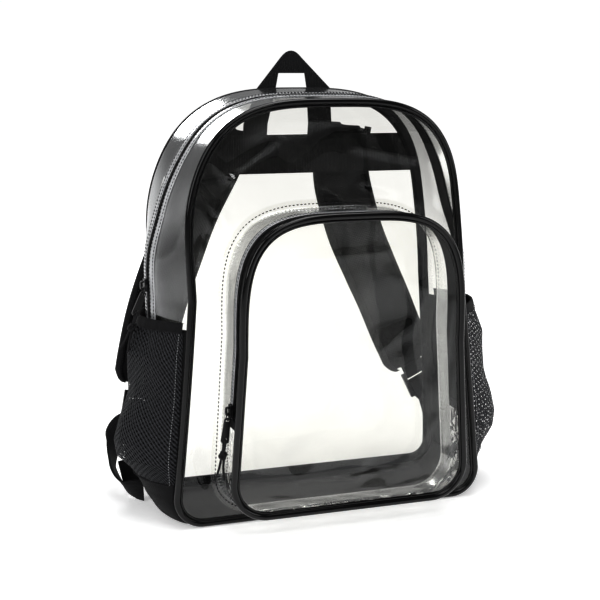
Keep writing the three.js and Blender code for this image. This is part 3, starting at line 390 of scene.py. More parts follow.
def ripples(points, height, size, seed, stretch=(1, 1, 1)):
    """Soft uneven heights over a grid of points, from seeded noise."""
    flat = points.reshape(-1, 3) / size * np.array(stretch, float) + seed * 7.31
    values = [noise.noise(Vector(p)) + 0.5 * noise.noise(Vector(p * 2.3)) for p in flat]
    return height * np.array(values).reshape(points.shape[:2])


def folds(x, z, table):
    """Raised folds of film: each row has its two ends, half width and height."""
    total = np.zeros_like(x)
    for x0, z0, x1, z1, wide, high in table:
        run = np.array([x1 - x0, z1 - z0], float)
        t = ((x - x0) * run[0] + (z - z0) * run[1]) / (run @ run)
        near = np.clip(t, 0, 1)
        away = np.hypot(x - x0 - near * run[0], z - z0 - near * run[1])
        total += high * np.exp(-(away / wide) ** 2) * np.sin(math.pi * np.clip(0.08 + 0.84 * t, 0, 1)) ** 0.5
    return total


def dents(x, z, table, half, low, high, span):
    """Hollows: each row has its place as shares across and up, its radius and its depth."""
    deep = np.zeros_like(x)
    for across, up, radius, share in table:
        away = np.hypot(x - across * half, z - mix(low, high, up)) / (radius * span)
        deep += np.where(away < 1, share * span * (1 - np.minimum(away, 1) ** 2) ** 2, 0)
    return deep


# Shader maths and finishes. At a glancing angle the film mirrors this much, and its see-through colour is
# darkened to this share as painted shade
GLANCING_MIRROR = 0.92
GLANCING_PAINTED_SHADE = 0.86


class Signal:
    """A shader value that can be used in plain sums."""

    def __init__(self, kit, socket):
        self.kit, self.socket = kit, socket

    def _sum(self, operation, first, second=None, clamp=False):
        inputs = {0: first} if second is None else {0: first, 1: second}
        return self.kit.node("ShaderNodeMath", {"operation": operation, "use_clamp": clamp}, inputs)

    def __add__(self, other):
        return self._sum("ADD", self, other)

    __radd__ = __add__

    def __sub__(self, other):
        return self._sum("SUBTRACT", self, other)

    def __rsub__(self, other):
        return self._sum("SUBTRACT", other, self)

    def __mul__(self, other):
        return self._sum("MULTIPLY", self, other)

    __rmul__ = __mul__

    def __truediv__(self, other):
        return self._sum("DIVIDE", self, other)

    def __rtruediv__(self, other):
        return self._sum("DIVIDE", other, self)

    def __pow__(self, other):
        return self._sum("POWER", self, other)

    def __rpow__(self, other):
        return self._sum("POWER", other, self)

    def __abs__(self):
        return self._sum("ABSOLUTE", self)

    def sine(self):
        return self._sum("SINE", self)

    def above(self, limit):
        return self._sum("GREATER_THAN", self, limit)

    def clamped(self):
        return self._sum("ADD", self, 0.0, clamp=True)

    def ramp(self, low, high):
        return ((self - low) / (high - low)).clamped()


class Finish:
    """A material under construction."""

    def __init__(self, name):
        self.material = bpy.data.materials.new(name)
        self.material.use_nodes = True
        self.tree = self.material.node_tree
        self.tree.nodes.clear()

    @classmethod
    def on(cls, tree):
        """The same methods on another node tree, such as the world's."""
        kit = cls.__new__(cls)
        kit.tree = tree
        tree.nodes.clear()
        return kit

    def node(self, kind, settings=None, inputs=None, out=0):
        made = self.tree.nodes.new(kind)
        for key, value in (settings or {}).items():
            setattr(made, key, value)
        for key, value in (inputs or {}).items():
            socket = made.inputs[key]
            if isinstance(value, Signal):
                self.tree.links.new(value.socket, socket)
            else:
                socket.default_value = value
        return Signal(self, made.outputs[out]) if len(made.outputs) else None

    def place(self, kind="Object", turn=0.0):
        source = self.node("ShaderNodeTexCoord", out=kind)
        return self.node("ShaderNodeMapping", {}, {"Vector": source, "Rotation": (0, 0, turn)})

    def cloud(self, vector, scale, detail=2.0, roughness=0.5):
        return self.node("ShaderNodeTexNoise", {}, {"Vector": vector, "Scale": scale, "Detail": detail,
                                                    "Roughness": roughness})

    def axes(self, vector):
        return [self.node("ShaderNodeSeparateXYZ", {}, {"Vector": vector}, out=k) for k in range(3)]

    def colour(self, factor, first, second):
        """From the first colour or signal to the second, by a factor."""
        first, second = (c if isinstance(c, Signal) else (*c, 1) for c in (first, second))
        return self.node("ShaderNodeMix", {"data_type": "RGBA"}, {0: factor, 6: first, 7: second}, out=2)

    def bump(self, height, strength, distance):
        return self.node("ShaderNodeBump", {}, {"Height": height, "Strength": strength, "Distance": distance})

    def shader(self, **values):
        return self.node("ShaderNodeBsdfPrincipled", {}, {k.replace("_", " "): v for k, v in values.items()})

    def done(self, surface):
        self.node("ShaderNodeOutputMaterial", {}, {"Surface": surface})
        return self.material


def clear_film(name, crumple=1.0, power=2.8, blur=0.05, size=9.0):
    """See-through film: it lets light pass, and mirrors more of it at a glancing angle."""
    kit = Finish(name)
    settings = bpy.context.scene.backpack_film
    uneven = kit.cloud(kit.place(), size, 1.0, 0.35)
    milky = kit.cloud(kit.place(), 11.0, 2.0, 0.5)
    normal = kit.bump(uneven, settings.crumple * crumple, 0.012)
    facing = kit.node("ShaderNodeLayerWeight", {}, {"Blend": 0.5, "Normal": normal}, out=1)
    reflect = (facing ** power) * (GLANCING_MIRROR - settings.mirror) + settings.mirror
    bright = tuple(settings.tint)
    shaded_tint = tuple(c * GLANCING_PAINTED_SHADE for c in bright)
    sheets = [kit.node("ShaderNodeBsdfTransparent", {}, {"Color": (*colour, 1)}) for colour in (bright, shaded_tint)]
    # The see-through colour is painted shade where the film is seen at a glancing angle, which brings out its
    # creases; the milky cloud is the film's own haze
    grey = (milky.ramp(0.35, 0.7) * 0.3 + facing * 1.5 - 0.1).clamped()
    clear = kit.node("ShaderNodeMixShader", {}, {0: grey, 1: sheets[0], 2: sheets[1]})
    gloss = kit.shader(Base_Color=(0.93, 0.94, 0.95, 1), Metallic=1.0, Roughness=blur, Normal=normal)
    return kit.done(kit.node("ShaderNodeMixShader", {}, {0: reflect.clamped(), 1: clear, 2: gloss}))


def gloss_black(name, grain=0.05, roughness=0.12, dark=0.002, light=0.006):
    """Moulded or extruded black plastic with a skin of its own."""
    kit = Finish(name)
    fine = kit.cloud(kit.place(), 420.0, 3.0)
    broad = kit.cloud(kit.place(), 60.0, 2.0)
    normal = kit.bump(fine * 0.5 + broad, grain, 0.0008)
    colour = kit.colour(broad, (dark, dark, dark * 1.1), (light, light, light * 1.1))
    return kit.done(kit.shader(Base_Color=colour,
                               Roughness=roughness + fine * 0.06, Coat_Weight=0.15, Coat_Roughness=0.04,
                               Specular_IOR_Level=0.35, Normal=normal))


def woven(name, dark, light, pitch=0.0011, relief=0.5, roughness=0.78, sheen=0.02, source="UV",
          specular=0.22):
    """Plain weave: threads over and under on the cloth's own lengths."""
    kit = Finish(name)
    x, y, _ = kit.axes(kit.place(source))
    rate = 2 * math.pi / pitch
    threads = (x * rate).sine() * (y * rate).sine()
    cloudy = kit.cloud(kit.place(), 45.0, 3.0)
    fuzz = kit.cloud(kit.place(), 900.0, 2.0)
    shade = (threads * 0.25 + cloudy * 0.7 + fuzz * 0.3 - 0.1).clamped()
    normal = kit.bump(threads * 0.5 + fuzz * 0.4, relief, 0.0005)
    return kit.done(kit.shader(Base_Color=kit.colour(shade, dark, light), Roughness=roughness,
                               Specular_IOR_Level=specular, Sheen_Weight=sheen, Sheen_Roughness=0.4,
                               Normal=normal))


def ribbed(name, dark, light, rib=0.0019, weft=0.0008, roughness=0.7):
    """Webbing: ribs that run along it, crossed by fine weft."""
    kit = Finish(name)
    x, y, _ = kit.axes(kit.place("UV"))
    ribs = abs((y * (math.pi / rib)).sine())
    cross = (x * (2 * math.pi / weft) + ribs * 1.5).sine()
    fuzz = kit.cloud(kit.place(), 700.0, 2.0)
    shade = (ribs * 0.5 + cross * 0.15 + fuzz * 0.35).clamped()
    normal = kit.bump(ribs + cross * 0.25 + fuzz * 0.3, 0.7, 0.0006)
    return kit.done(kit.shader(Base_Color=kit.colour(shade, dark, light), Roughness=roughness,
                               Specular_IOR_Level=0.25, Sheen_Weight=0.02, Normal=normal))


def open_net(name, pitch=0.0030, hole=0.47):
    """Knitted mesh: slanting ribs with a hole between each pair of crossings."""
    kit = Finish(name)
    x, y, _ = kit.axes(kit.place("UV", turn=math.radians(52)))
    rate = 2 * math.pi / pitch
    one, two = (x * rate).sine(), (y * rate * 0.62).sine()
    cell = one * 0.62 + two * 0.38
    solid = 1 - cell.above(hole)
    fuzz = kit.cloud(kit.place(), 800.0, 2.0)
    normal = kit.bump(one * 0.8 + two * 0.3 + fuzz * 0.2, 0.9, 0.0009)
    # The lighter blue-grey along the ribs is a painted highlight; the fuzz is the yarn's own uneven tone
    shade = (one * -0.35 + fuzz * 0.4 + one * two * 0.1 + 0.35).clamped()
    cloth = kit.shader(Base_Color=kit.colour(shade, (0.002, 0.002, 0.0025), (0.05, 0.052, 0.058)),
                       Roughness=0.62, Specular_IOR_Level=0.3, Normal=normal)
    gap = kit.node("ShaderNodeBsdfTransparent", {}, {"Color": (1, 1, 1, 1)})
    return kit.done(kit.node("ShaderNodeMixShader", {}, {0: solid, 1: gap, 2: cloth}))


def spacer_mesh(name):
    """The straps' padded face: small closed cells of air mesh."""
    kit = Finish(name)
    x, y, _ = kit.axes(kit.place("UV", turn=math.radians(45)))
    rate = 2 * math.pi / 0.0026
    cells = abs((x * rate * 0.5).sine()) * abs((y * rate * 0.5).sine())
    cloudy = kit.cloud(kit.place(), 38.0, 3.0)
    fuzz = kit.cloud(kit.place(), 800.0, 2.0)
    shade = (cells * 0.3 + cloudy * 0.6 + fuzz * 0.2 - 0.1).clamped()
    normal = kit.bump(cells + fuzz * 0.3, 0.35, 0.0006)
    return kit.done(kit.shader(Base_Color=kit.colour(shade, (0.002, 0.002, 0.0025), (0.009, 0.009, 0.0105)),
                               Roughness=0.8, Specular_IOR_Level=0.2, Sheen_Weight=0.02, Normal=normal))


def hem_film(name):
    """Film folded and sewn down over zip tape, glossy and a little creased: its opaque light grey is a painted
    reflection, the silvery sheen of the doubled film.
    """
    kit = Finish(name)
    streak = kit.cloud(kit.place(), 130.0, 3.0)
    soft = kit.cloud(kit.place(), 30.0, 2.0)
    normal = kit.bump(streak * 0.5 + soft, 0.5, 0.003)
    # Painted reflection: light grey streaks stand in for the doubled film's silvery sheen
    shade = (streak * 0.7 + soft * 0.6 - 0.25).clamped()
    return kit.done(kit.shader(Base_Color=kit.colour(shade, (0.3, 0.305, 0.315), (0.75, 0.755, 0.77)),
                               Roughness=0.26, Coat_Weight=0.45, Coat_Roughness=0.08, Normal=normal))


def lacquer(name):
    """Black lacquered zip metal, worn a little where it rubs."""
    kit = Finish(name)
    worn = kit.cloud(kit.place(), 260.0, 3.0)
    normal = kit.bump(worn, 0.15, 0.0006)
    colour = kit.colour(worn.ramp(0.5, 0.75), (0.012, 0.012, 0.013), (0.06, 0.06, 0.062))
    return kit.done(kit.shader(Base_Color=colour, Metallic=0.55, Roughness=0.3 + worn * 0.15, Normal=normal))


def braid(name):
    """Round braided cord."""
    kit = Finish(name)
    x, y, _ = kit.axes(kit.place("UV"))
    twist = (x * 5200.0 + y * 3300.0).sine() * (x * 5200.0 - y * 3300.0).sine()
    fuzz = kit.cloud(kit.place(), 1200.0, 2.0)
    normal = kit.bump(twist * 0.6 + fuzz * 0.4, 0.8, 0.0005)
    colour = kit.colour((twist * 0.4 + fuzz * 0.6).clamped(), (0.005, 0.005, 0.006), (0.026, 0.026, 0.03))
    return kit.done(kit.shader(Base_Color=colour, Roughness=0.75, Normal=normal))


# Each look's maker, and the values that this maker takes, in its own order
BLACK = (0.003, 0.003, 0.0035)
LOOKS = {
    "film": (clear_film, "clear_film"),
    "gusset_film": (clear_film, "gusset_film", 0.3, 1.7, 0.17),
    "creased_film": (clear_film, "creased_film", 4.6, 1.9, 0.07, 95.0),
    "pocket_film": (clear_film, "pocket_film", 1.1),
    "hem": (hem_film, "hem_film"),
    "piping": (gloss_black, "piping_black"),
    "plastic": (gloss_black, "moulded_black", 0.15, 0.3, 0.004, 0.01),
    "coil": (gloss_black, "zip_coil", 0.1, 0.3, 0.003, 0.009),
    "cloth": (woven, "coated_cloth", BLACK, (0.013, 0.013, 0.0145), 0.0013, 0.45, 0.7),
    # The floor's cloth is the same black fabric as the sides; its lighter grey is painted light, as if lit from
    # above
    "base_cloth": (woven, "base_cloth", (0.05, 0.05, 0.051), (0.1, 0.1, 0.102), 0.0013, 0.3, 0.6),
    "tape": (woven, "zip_tape", (0.0015, 0.0015, 0.002), (0.008, 0.008, 0.009), 0.0010, 0.5, 0.7),
    "thread": (woven, "dark_thread", (0.003, 0.003, 0.004), (0.012, 0.012, 0.014), 0.0007, 0.2, 0.9,
               0.0, "Object", 0.1),
    "grey_thread": (woven, "grey_thread", (0.02, 0.02, 0.022), (0.06, 0.06, 0.065), 0.0007, 0.2, 0.9,
                    0.0, "Object", 0.1),
    # Pale stitches: their light grey is a painted highlight, the glint of the net's edge seams
    "pale_thread": (woven, "pale_thread", (0.3, 0.3, 0.31), (0.6, 0.6, 0.62), 0.0007, 0.3, 0.5,
                    0.02, "Object"),
    "elastic": (ribbed, "elastic_band", BLACK, (0.015, 0.015, 0.017), 0.0015, 0.0009),
    "webbing": (ribbed, "webbing", BLACK, (0.018, 0.018, 0.02)),
    "net": (open_net, "side_net"),
    "spacer": (spacer_mesh, "strap_mesh"),
    "metal": (lacquer, "zip_metal"),
    "cord": (braid, "pull_cord"),
}
FINISHES = {}


def finish(look):
    """The material of a look, made once."""
    if look not in FINISHES:
        maker, *values = LOOKS[look]
        FINISHES[look] = maker(*values)
    return FINISHES[look]


def paint(piece, look):
    piece.data.materials.clear()
    piece.data.materials.append(finish(look))


def dress(piece, look, slot, *nodes):
    """Gives a piece its finish, hides the solids that it stands for, and lets it ride on the bag."""
    paint(piece, look)
    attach(piece, "root")
    if nodes:
        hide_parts(*nodes)
    return piece


# Repeats along a path, by Geometry Nodes
def repeat_tree():
    """Small rounded shapes at even steps along paths, each turned to its path and surface."""
    if "repeat_along" in bpy.data.node_groups:
        return bpy.data.node_groups["repeat_along"]
    tree = bpy.data.node_groups.new("repeat_along", "GeometryNodeTree")
    for name, way, kind in (("Geometry", "INPUT", "Geometry"), ("Pitch", "INPUT", "Float"),
                            ("Long", "INPUT", "Float"), ("Wide", "INPUT", "Float"),
                            ("High", "INPUT", "Float"), ("Finish", "INPUT", "Material"),
                            ("Geometry", "OUTPUT", "Geometry")):
        tree.interface.new_socket(name, in_out=way, socket_type=f"NodeSocket{kind}")

    def node(kind, **settings):
        made = tree.nodes.new(kind)
        for key, value in settings.items():
            setattr(made, key, value)
        return made

    start, end = node("NodeGroupInput"), node("NodeGroupOutput")
    curve = node("GeometryNodeMeshToCurve")
    even = node("GeometryNodeResampleCurve", mode="LENGTH")
    up = node("GeometryNodeInputNamedAttribute", data_type="FLOAT_VECTOR")
    up.inputs["Name"].default_value = "up"
    tangent = node("GeometryNodeInputTangent")
    first = node("FunctionNodeAlignRotationToVector", axis="X")
    second = node("FunctionNodeAlignRotationToVector", axis="Z", pivot_axis="X")
    shape = node("GeometryNodeMeshIcoSphere")
    shape.inputs["Radius"].default_value = 0.5
    shape.inputs["Subdivisions"].default_value = 1
    size = node("ShaderNodeCombineXYZ")
    place = node("GeometryNodeInstanceOnPoints")
    real = node("GeometryNodeRealizeInstances")
    paint_all = node("GeometryNodeSetMaterial")
    for source, out, target, into in (
            (start, "Geometry", curve, "Mesh"), (curve, "Curve", even, "Curve"),
            (start, "Pitch", even, "Length"),
            (tangent, "Tangent", first, "Vector"), (first, "Rotation", second, "Rotation"),
            (up, "Attribute", second, "Vector"), (start, "Long", size, "X"), (start, "Wide", size, "Y"),
            (start, "High", size, "Z"), (even, "Curve", place, "Points"), (shape, "Mesh", place, "Instance"),
            (second, "Rotation", place, "Rotation"), (size, "Vector", place, "Scale"),
            (place, "Instances", real, "Geometry"), (real, "Geometry", paint_all, "Geometry"),
            (start, "Finish", paint_all, "Material"), (paint_all, "Geometry", end, "Geometry")):
        tree.links.new(source.outputs[out], target.inputs[into])
    return tree


def run_along(name, paths, look, slot, pitch, long, wide, high):
    """Stitches or zip teeth along paths of points and outward directions, in millimetres."""
    points, ups, edges = [], [], []
    for line, up, closed in paths:
        start = len(points)
        points.extend(np.asarray(line) * MM)
        ups.extend(np.broadcast_to(up, np.shape(line)))
        edges.extend((start + k, start + k + 1) for k in range(len(line) - 1))
        if closed:
            edges.append((start + len(line) - 1, start))
    mesh = bpy.data.meshes.new(name)
    mesh.from_pydata([tuple(p) for p in points], edges, [])
    store = mesh.attributes.new("up", "FLOAT_VECTOR", "POINT")
    store.data.foreach_set("vector", np.asarray(ups, float).ravel())
    piece = put_in_scene(name, mesh)
    tree = repeat_tree()
    made = piece.modifiers.new("repeat", "NODES")
    made.node_group = tree
    values = {"Pitch": pitch * MM, "Long": long * MM, "Wide": wide * MM, "High": high * MM,
              "Finish": finish(look)}
    for item in tree.interface.items_tree:
        if item.in_out == "INPUT" and item.name in values:
            made[item.identifier] = values[item.name]
    apply_modifiers(piece)
    shade_smooth(piece.data)
    if not piece.data.polygons:
        raise RuntimeError(f"{name} came out empty")
    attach(piece, "root")
    return piece


def sew(name, rows, look, slot, size=1.0):
    """Rows of stitches of the set size."""
    thread = bpy.context.scene.backpack_stitches
    sizes = (size * value / MM for value in (thread.pitch, thread.length, thread.width, thread.height))
    return run_along(name, rows, look, slot, *sizes)


def skin_line(at, places, share, proud):
    """A path on a skin with the direction off it at each point."""
    line = at(places, share, proud)
    up = unit(at(places, share, proud + 1.0) - line)
    return line, up, False


def share_of(length):
    """A length front to back as a share of the bag's depth."""
    return length / DEPTH


# The main body
FRONT_DENTS = ((-0.72, 0.62, 0.42, 0.06), (0.8, 0.4, 0.5, 0.05), (-0.35, 0.88, 0.5, 0.035))
FRONT_FOLDS = (
    (-132, 376, -104, 352, 4, 2.4), (-146, 352, -120, 318, 4, 2.0), (-138, 330, -108, 262, 4, 2.6),
    (-134, 300, -122, 236, 3, 2.0), (-120, 330, -100, 284, 3, 1.8), (-60, 410, 60, 416, 5, 2.0),
    (136, 350, 142, 240, 5, 2.4), (124, 380, 140, 330, 4, 1.8), (-158, 70, -140, 28, 6, 2.2),
    (150, 120, 146, 40, 5, 2.2), (-60, 392, -118, 356, 4, 1.8), (30, 350, 74, 338, 6, 1.6),
    (20, 386, 90, 372, 6, 1.5),
)
POCKET_DENTS = ((0.2, 0.12, 0.35, 0.09), (-0.45, 0.2, 0.4, 0.07), (0.3, 0.66, 0.8, 0.08))
POCKET_FOLDS = (
    (-100, 42, -30, 34, 4, 2.4), (-40, 36, 30, 44, 4, 2.2), (20, 34, 96, 46, 4, 2.6),
    (100, 60, 108, 160, 6, 2.8),
    (92, 50, 112, 84, 4, 2.4), (98, 150, 104, 232, 5, 2.2), (-104, 60, -110, 130, 4, 1.8),
    (-60, 280, 40, 286, 5, 1.6), (60, 210, 20, 180, 8, 1.8), (-96, 96, -60, 60, 7, 1.8),
    (-20, 52, 60, 60, 5, 1.8), (60, 70, 90, 110, 6, 1.8), (30, 262, 84, 240, 6, 1.8),
    (86, 280, 60, 200, 5, 1.6),
)


def film_panel(name, rim, middle, rows, y_of, relief, look, node):
    """A flat panel of film inside a loop: rings of the loop drawn in to its middle."""
    share = np.linspace(0, 1, rows)[None, :] ** 1.15
    x = mix(rim[:, None, 0], middle[0], share)
    z = mix(rim[:, None, 2], middle[1], share)
    settle = np.minimum(1, share * 7)
    y = y_of(z) + settle * relief(x, z)
    points = np.stack([x, y, z], -1)
    points[:, -1] = points[0, -1]
    piece = grid_piece(name, points, ring=True, flip=True)
    if rim[0, 1] > 0:
        piece.data.flip_normals()
    edit = bmesh.new()
    edit.from_mesh(piece.data)
    bmesh.ops.remove_doubles(edit, verts=edit.verts, dist=1e-6)
    edit.to_mesh(piece.data)
    edit.free()
    return dress(piece, look, "clear_film", node)


def make_film_body():
    """Front and back panels and the two gusset strips."""
    def front_relief(x, z):
        points = np.stack([x, 0 * x, z], -1)
        return (dents(x, z, FRONT_DENTS, FRONT["base"], 0, FRONT["top"], DEPTH) - folds(x, z, FRONT_FOLDS)
                + ripples(points, 0.7, 46, 3))

    film_panel("clear_front", body_at(RING, 0.0, -PANEL_INSET), (0, 215), 60, lambda z: -DEPTH / 2 + 0 * z,
               front_relief, "film", "front_panel")
    film_panel("clear_back", body_at(RING, 1.0, -(BINDING - 1.5)), (0, 215), 26, back_y,
               lambda x, z: ripples(np.stack([x, 0 * x, z], -1), 0.8, 60, 5) - 0.2, "film", "back_panel")

    coil_edge = share_of(4.6)
    strips = (("clear_gusset_front", share_of(1.5), 0.5 - coil_edge, "gusset_front_strip", 1),
              ("clear_gusset_rear", 0.5 + coil_edge, 1 - share_of(1.0), "gusset_rear_strip", 2))
    for name, low, high, node, seed in strips:
        shares = np.linspace(low, high, 30)
        flat = body_at(OVER_TOP[:, None], shares[None, :])
        far = np.abs(shares - 0.5) * DEPTH
        quiet = np.clip((far - 12) / 8, 0, 1) * np.clip((DEPTH / 2 - far) / 8, 0, 1)
        loose = 1 + 1.6 * np.clip((290 - flat[..., 2]) / 60, 0, 1)
        waves = ripples(flat, 0.7, 70, seed, (1.0, 0.7, 0.8)) * quiet * loose
        hem = np.where(far < 15, 0.5, 0.0)
        piece = skin_piece(name, body_at(OVER_TOP[:, None], shares[None, :], hem + waves + 0.15))
        dress(piece, "gusset_film", "clear_film", node)


def make_zip(node, at, places, middle, reach, width, hems=(-1, 1)):
    """Tape, and over it hems of film on the given sides, coil teeth and rows of stitches."""
    tape_shares = middle + np.linspace(-width / 2, width / 2, 9) / reach
    piece = skin_piece(f"{node}_tape", at(places[:, None], tape_shares[None, :], -0.1))
    dress(thicken(piece, 0.7), "tape", "zip_black", node)
    for side in hems:
        name = "low" if side < 0 else "high"
        shares = middle + side * np.linspace(4.3, width / 2, 6) / reach
        rise = np.array([0.35, 0.55, 0.55, 0.5, 0.5, 0.3])
        hem = skin_piece(f"{node}_hem_{name}", at(places[:, None], shares[None, :], rise[None, :] + 0.5))
        dress(thicken(hem, 0.4), "hem", "clear_film")
    teeth = []
    for side in (-1, 1):
        share = middle + side * 1.35 / reach
        start = places + (0.0 if side < 0 else (places[1] - places[0]) * 0.35)
        teeth.append(skin_line(at, start[:-1], share, 0.8))
    pitch = bpy.context.scene.backpack_stitches.coil_pitch / MM
    run_along(f"{node}_teeth", teeth, "coil", "zip_black", pitch, 0.95, 3.3, 1.7)
    rows = [skin_line(at, places, middle + side * away / reach, 1.15)
            for side in hems for away in (6.1, width / 2 - 2.2)]
    sew(f"{node}_stitches", rows, "thread", "zip_black")


def round_edge(name, at, share, radius, sides, inward, forward, *nodes):
    """A round of piping along a seam, set inward of it and forward of it."""
    angle = np.linspace(0, 2 * math.pi, sides, endpoint=False)
    points = at(RING[:, None], share, (radius * np.cos(angle) - inward)[None, :])
    points[..., 1] += (radius * np.sin(angle) - forward)[None, :]
    dress(swept_piece(name, points, ring=True), "piping", "piping_black", *nodes)


def make_piping(node, at, share):
    """Glossy piping with the narrow sewn ridge just inside it."""
    round_edge(f"{node}_skin", at, share, PIPING, 16, 0, 0, node)
    round_edge(f"{node}_bead", at, share, 1.3, 10, PIPING + 0.8, 0.5)


# The binding's section: out from the seam and back from it
BINDING_SECTION = np.array([(0.8, -1.2), (0.8, 1.4), (0.2, 2.4), (-3, 2.7), (-7.5, 2.7), (-10.2, 2.3),
                            (-10.4, 0.4), (-10.4, -1.6), (-7, -2.0), (-3, -2.0), (0.2, -1.8)])


def make_trim():
    """Glossy piping, the fabric binding and the black floor."""
    make_piping("front_piping", body_at, 0.0)
    points = body_at(RING[:, None], 1.0, BINDING_SECTION[None, :, 0])
    points[..., 1] += BINDING_SECTION[None, :, 1]
    dress(swept_piece("back_binding_tape", points, ring=True), "webbing", "fabric_black", "back_binding")
    for name, y in (("outer", 2.95), ("inner", -2.25)):
        line = body_at(RING, 1.0, -8.3)
        line[:, 1] += y
        sew(f"binding_stitches_{name}", [(line, (0, math.copysign(1, y), 0), True)], "thread",
            "fabric_black", 0.8)

    places = np.linspace(-CORNER_TOP, CORNER_TOP, 90)
    shares = np.linspace(share_of(2.0), 1 - share_of(1.5), 26)
    floor = skin_piece("base_cloth_floor", body_at(places[:, None], shares[None, :]))
    # The floor cloth's lighter grey is painted light from above
    dress(thicken(floor, 1.4), "base_cloth", "fabric_black", "base_panel")
    for side, name in ((1, "right"), (-1, "left")):
        places = np.linspace(CORNER_TOP, FILM_LOW, 50)
        places = places if side > 0 else LOOP - places
        panel = skin_piece(f"side_cloth_{name}", body_at(places[:, None], shares[None, :], -0.2))
        dress(thicken(panel, 1.2), "cloth", "fabric_black", f"side_panel_{name}")


# The front pocket
POCKET_MEAN_DEPTH = (POCKET_DEPTH[0] + POCKET_DEPTH[1]) / 2


def pocket_share(length):
    """A length front to back as a share of the pocket's depth."""
    return length / POCKET_MEAN_DEPTH


POCKET_CENTRE = (0, -90, 150)
POCKET_ZIP_FRONT = 1 - pocket_share(PIPING + 0.6)
POCKET_ZIP_REAR = POCKET_ZIP_FRONT - pocket_share(POCKET_ZIP_WIDTH)
POCKET_ZIP_MIDDLE = (POCKET_ZIP_FRONT + POCKET_ZIP_REAR) / 2


def pocket_place(z):
    """The place on the pocket's loop at a height between its corner and its waist."""
    low = FACE["low"] + FACE["corner"]
    return CORNER_TOP + (WAIST - CORNER_TOP) * (z - low) / (FACE["waist_z"] - low)


def make_front_pocket():
    """The clear front pocket with its flange, zip, stops and piping."""
    def face_y(z):
        return -DEPTH / 2 - mix(*POCKET_DEPTH, z / FACE["top"])

    def relief(x, z):
        points = np.stack([x, 0 * x, z], -1)
        hollows = dents(x, z, POCKET_DENTS, FACE["base"], FACE["low"], FACE["top"], POCKET_MEAN_DEPTH)
        return hollows - folds(x, z, POCKET_FOLDS) + ripples(points, 0.7, 42, 9)

    film_panel("clear_pocket_front", pocket_at(RING, 1.0, -PANEL_INSET), (0, 168), 52, face_y, relief,
               "pocket_film", "pocket_panel")
    make_piping("pocket_piping", pocket_at, 1.0)

    strip_front = POCKET_ZIP_REAR + pocket_share(1.0)
    flange = [(0.0, POCKET_FLANGE), (0.0, POCKET_FLANGE * 0.6), (0.0, POCKET_FLANGE * 0.25), (0.02, 0.8),
              (0.06, 0.0)] + [(mix(0.06, strip_front, k / 8), 0.0) for k in range(1, 9)]
    shares, outs = np.array(flange).T
    base = pocket_at(RING[:, None], shares[None, :], outs[None, :])
    waves = ripples(base, 0.7, 30, 12) * (shares > 0.1)[None, :]
    strip = pocket_at(RING[:, None], shares[None, :], outs[None, :] + waves)
    strip[..., 1] -= 0.5
    strip_piece = skin_piece("clear_pocket_strip", strip, ring=True, centre=(0, -60, 150))
    dress(strip_piece, "gusset_film", "clear_film", "pocket_rear_strip")
    line = pocket_at(RING, 0.0, POCKET_FLANGE * 0.5)
    line[:, 1] -= 1.0
    sew("pocket_flange_stitches", [(line, (0, -1, 0), True)], "grey_thread", "clear_film", 1.15)

    end = pocket_place(POCKET_ZIP_END_Z)
    stop = pocket_place(POCKET_ZIP_END_Z - POCKET_ZIP_STOP)
    make_zip("pocket_zip", pocket_at, np.linspace(end, LOOP - end, 240), POCKET_ZIP_MIDDLE,
             POCKET_MEAN_DEPTH, POCKET_ZIP_WIDTH, hems=(-1,))
    shares = np.linspace(POCKET_ZIP_REAR - pocket_share(0.4), POCKET_ZIP_FRONT, 10)
    for side, name in ((1, "right"), (-1, "left")):
        places = np.linspace(stop, end, 6)
        places = places if side > 0 else LOOP - places
        crown = 1.1 * np.sin(math.pi * np.linspace(0.08, 0.92, 6))[:, None]
        tab = skin_piece(f"zip_stop_{name}", pocket_at(places[:, None], shares[None, :], crown),
                         centre=POCKET_CENTRE)
        dress(thicken(tab, 1.2), "webbing", "fabric_black", f"pocket_zip_stop_{name}")
    places = np.linspace(-stop, stop, 130)
    flat = pocket_at(places[:, None], shares[None, :])
    low = pocket_at(places[:, None], shares[None, :], ripples(flat, 0.9, 26, 15) - 0.2)
    dress(skin_piece("clear_pocket_gusset", low, centre=POCKET_CENTRE), "creased_film", "clear_film",
          "pocket_lower_gusset")
    row = skin_line(pocket_at, places, POCKET_ZIP_REAR + pocket_share(1.5), 0.9)
    sew("pocket_gusset_stitches", [row], "grey_thread", "clear_film", 0.9)


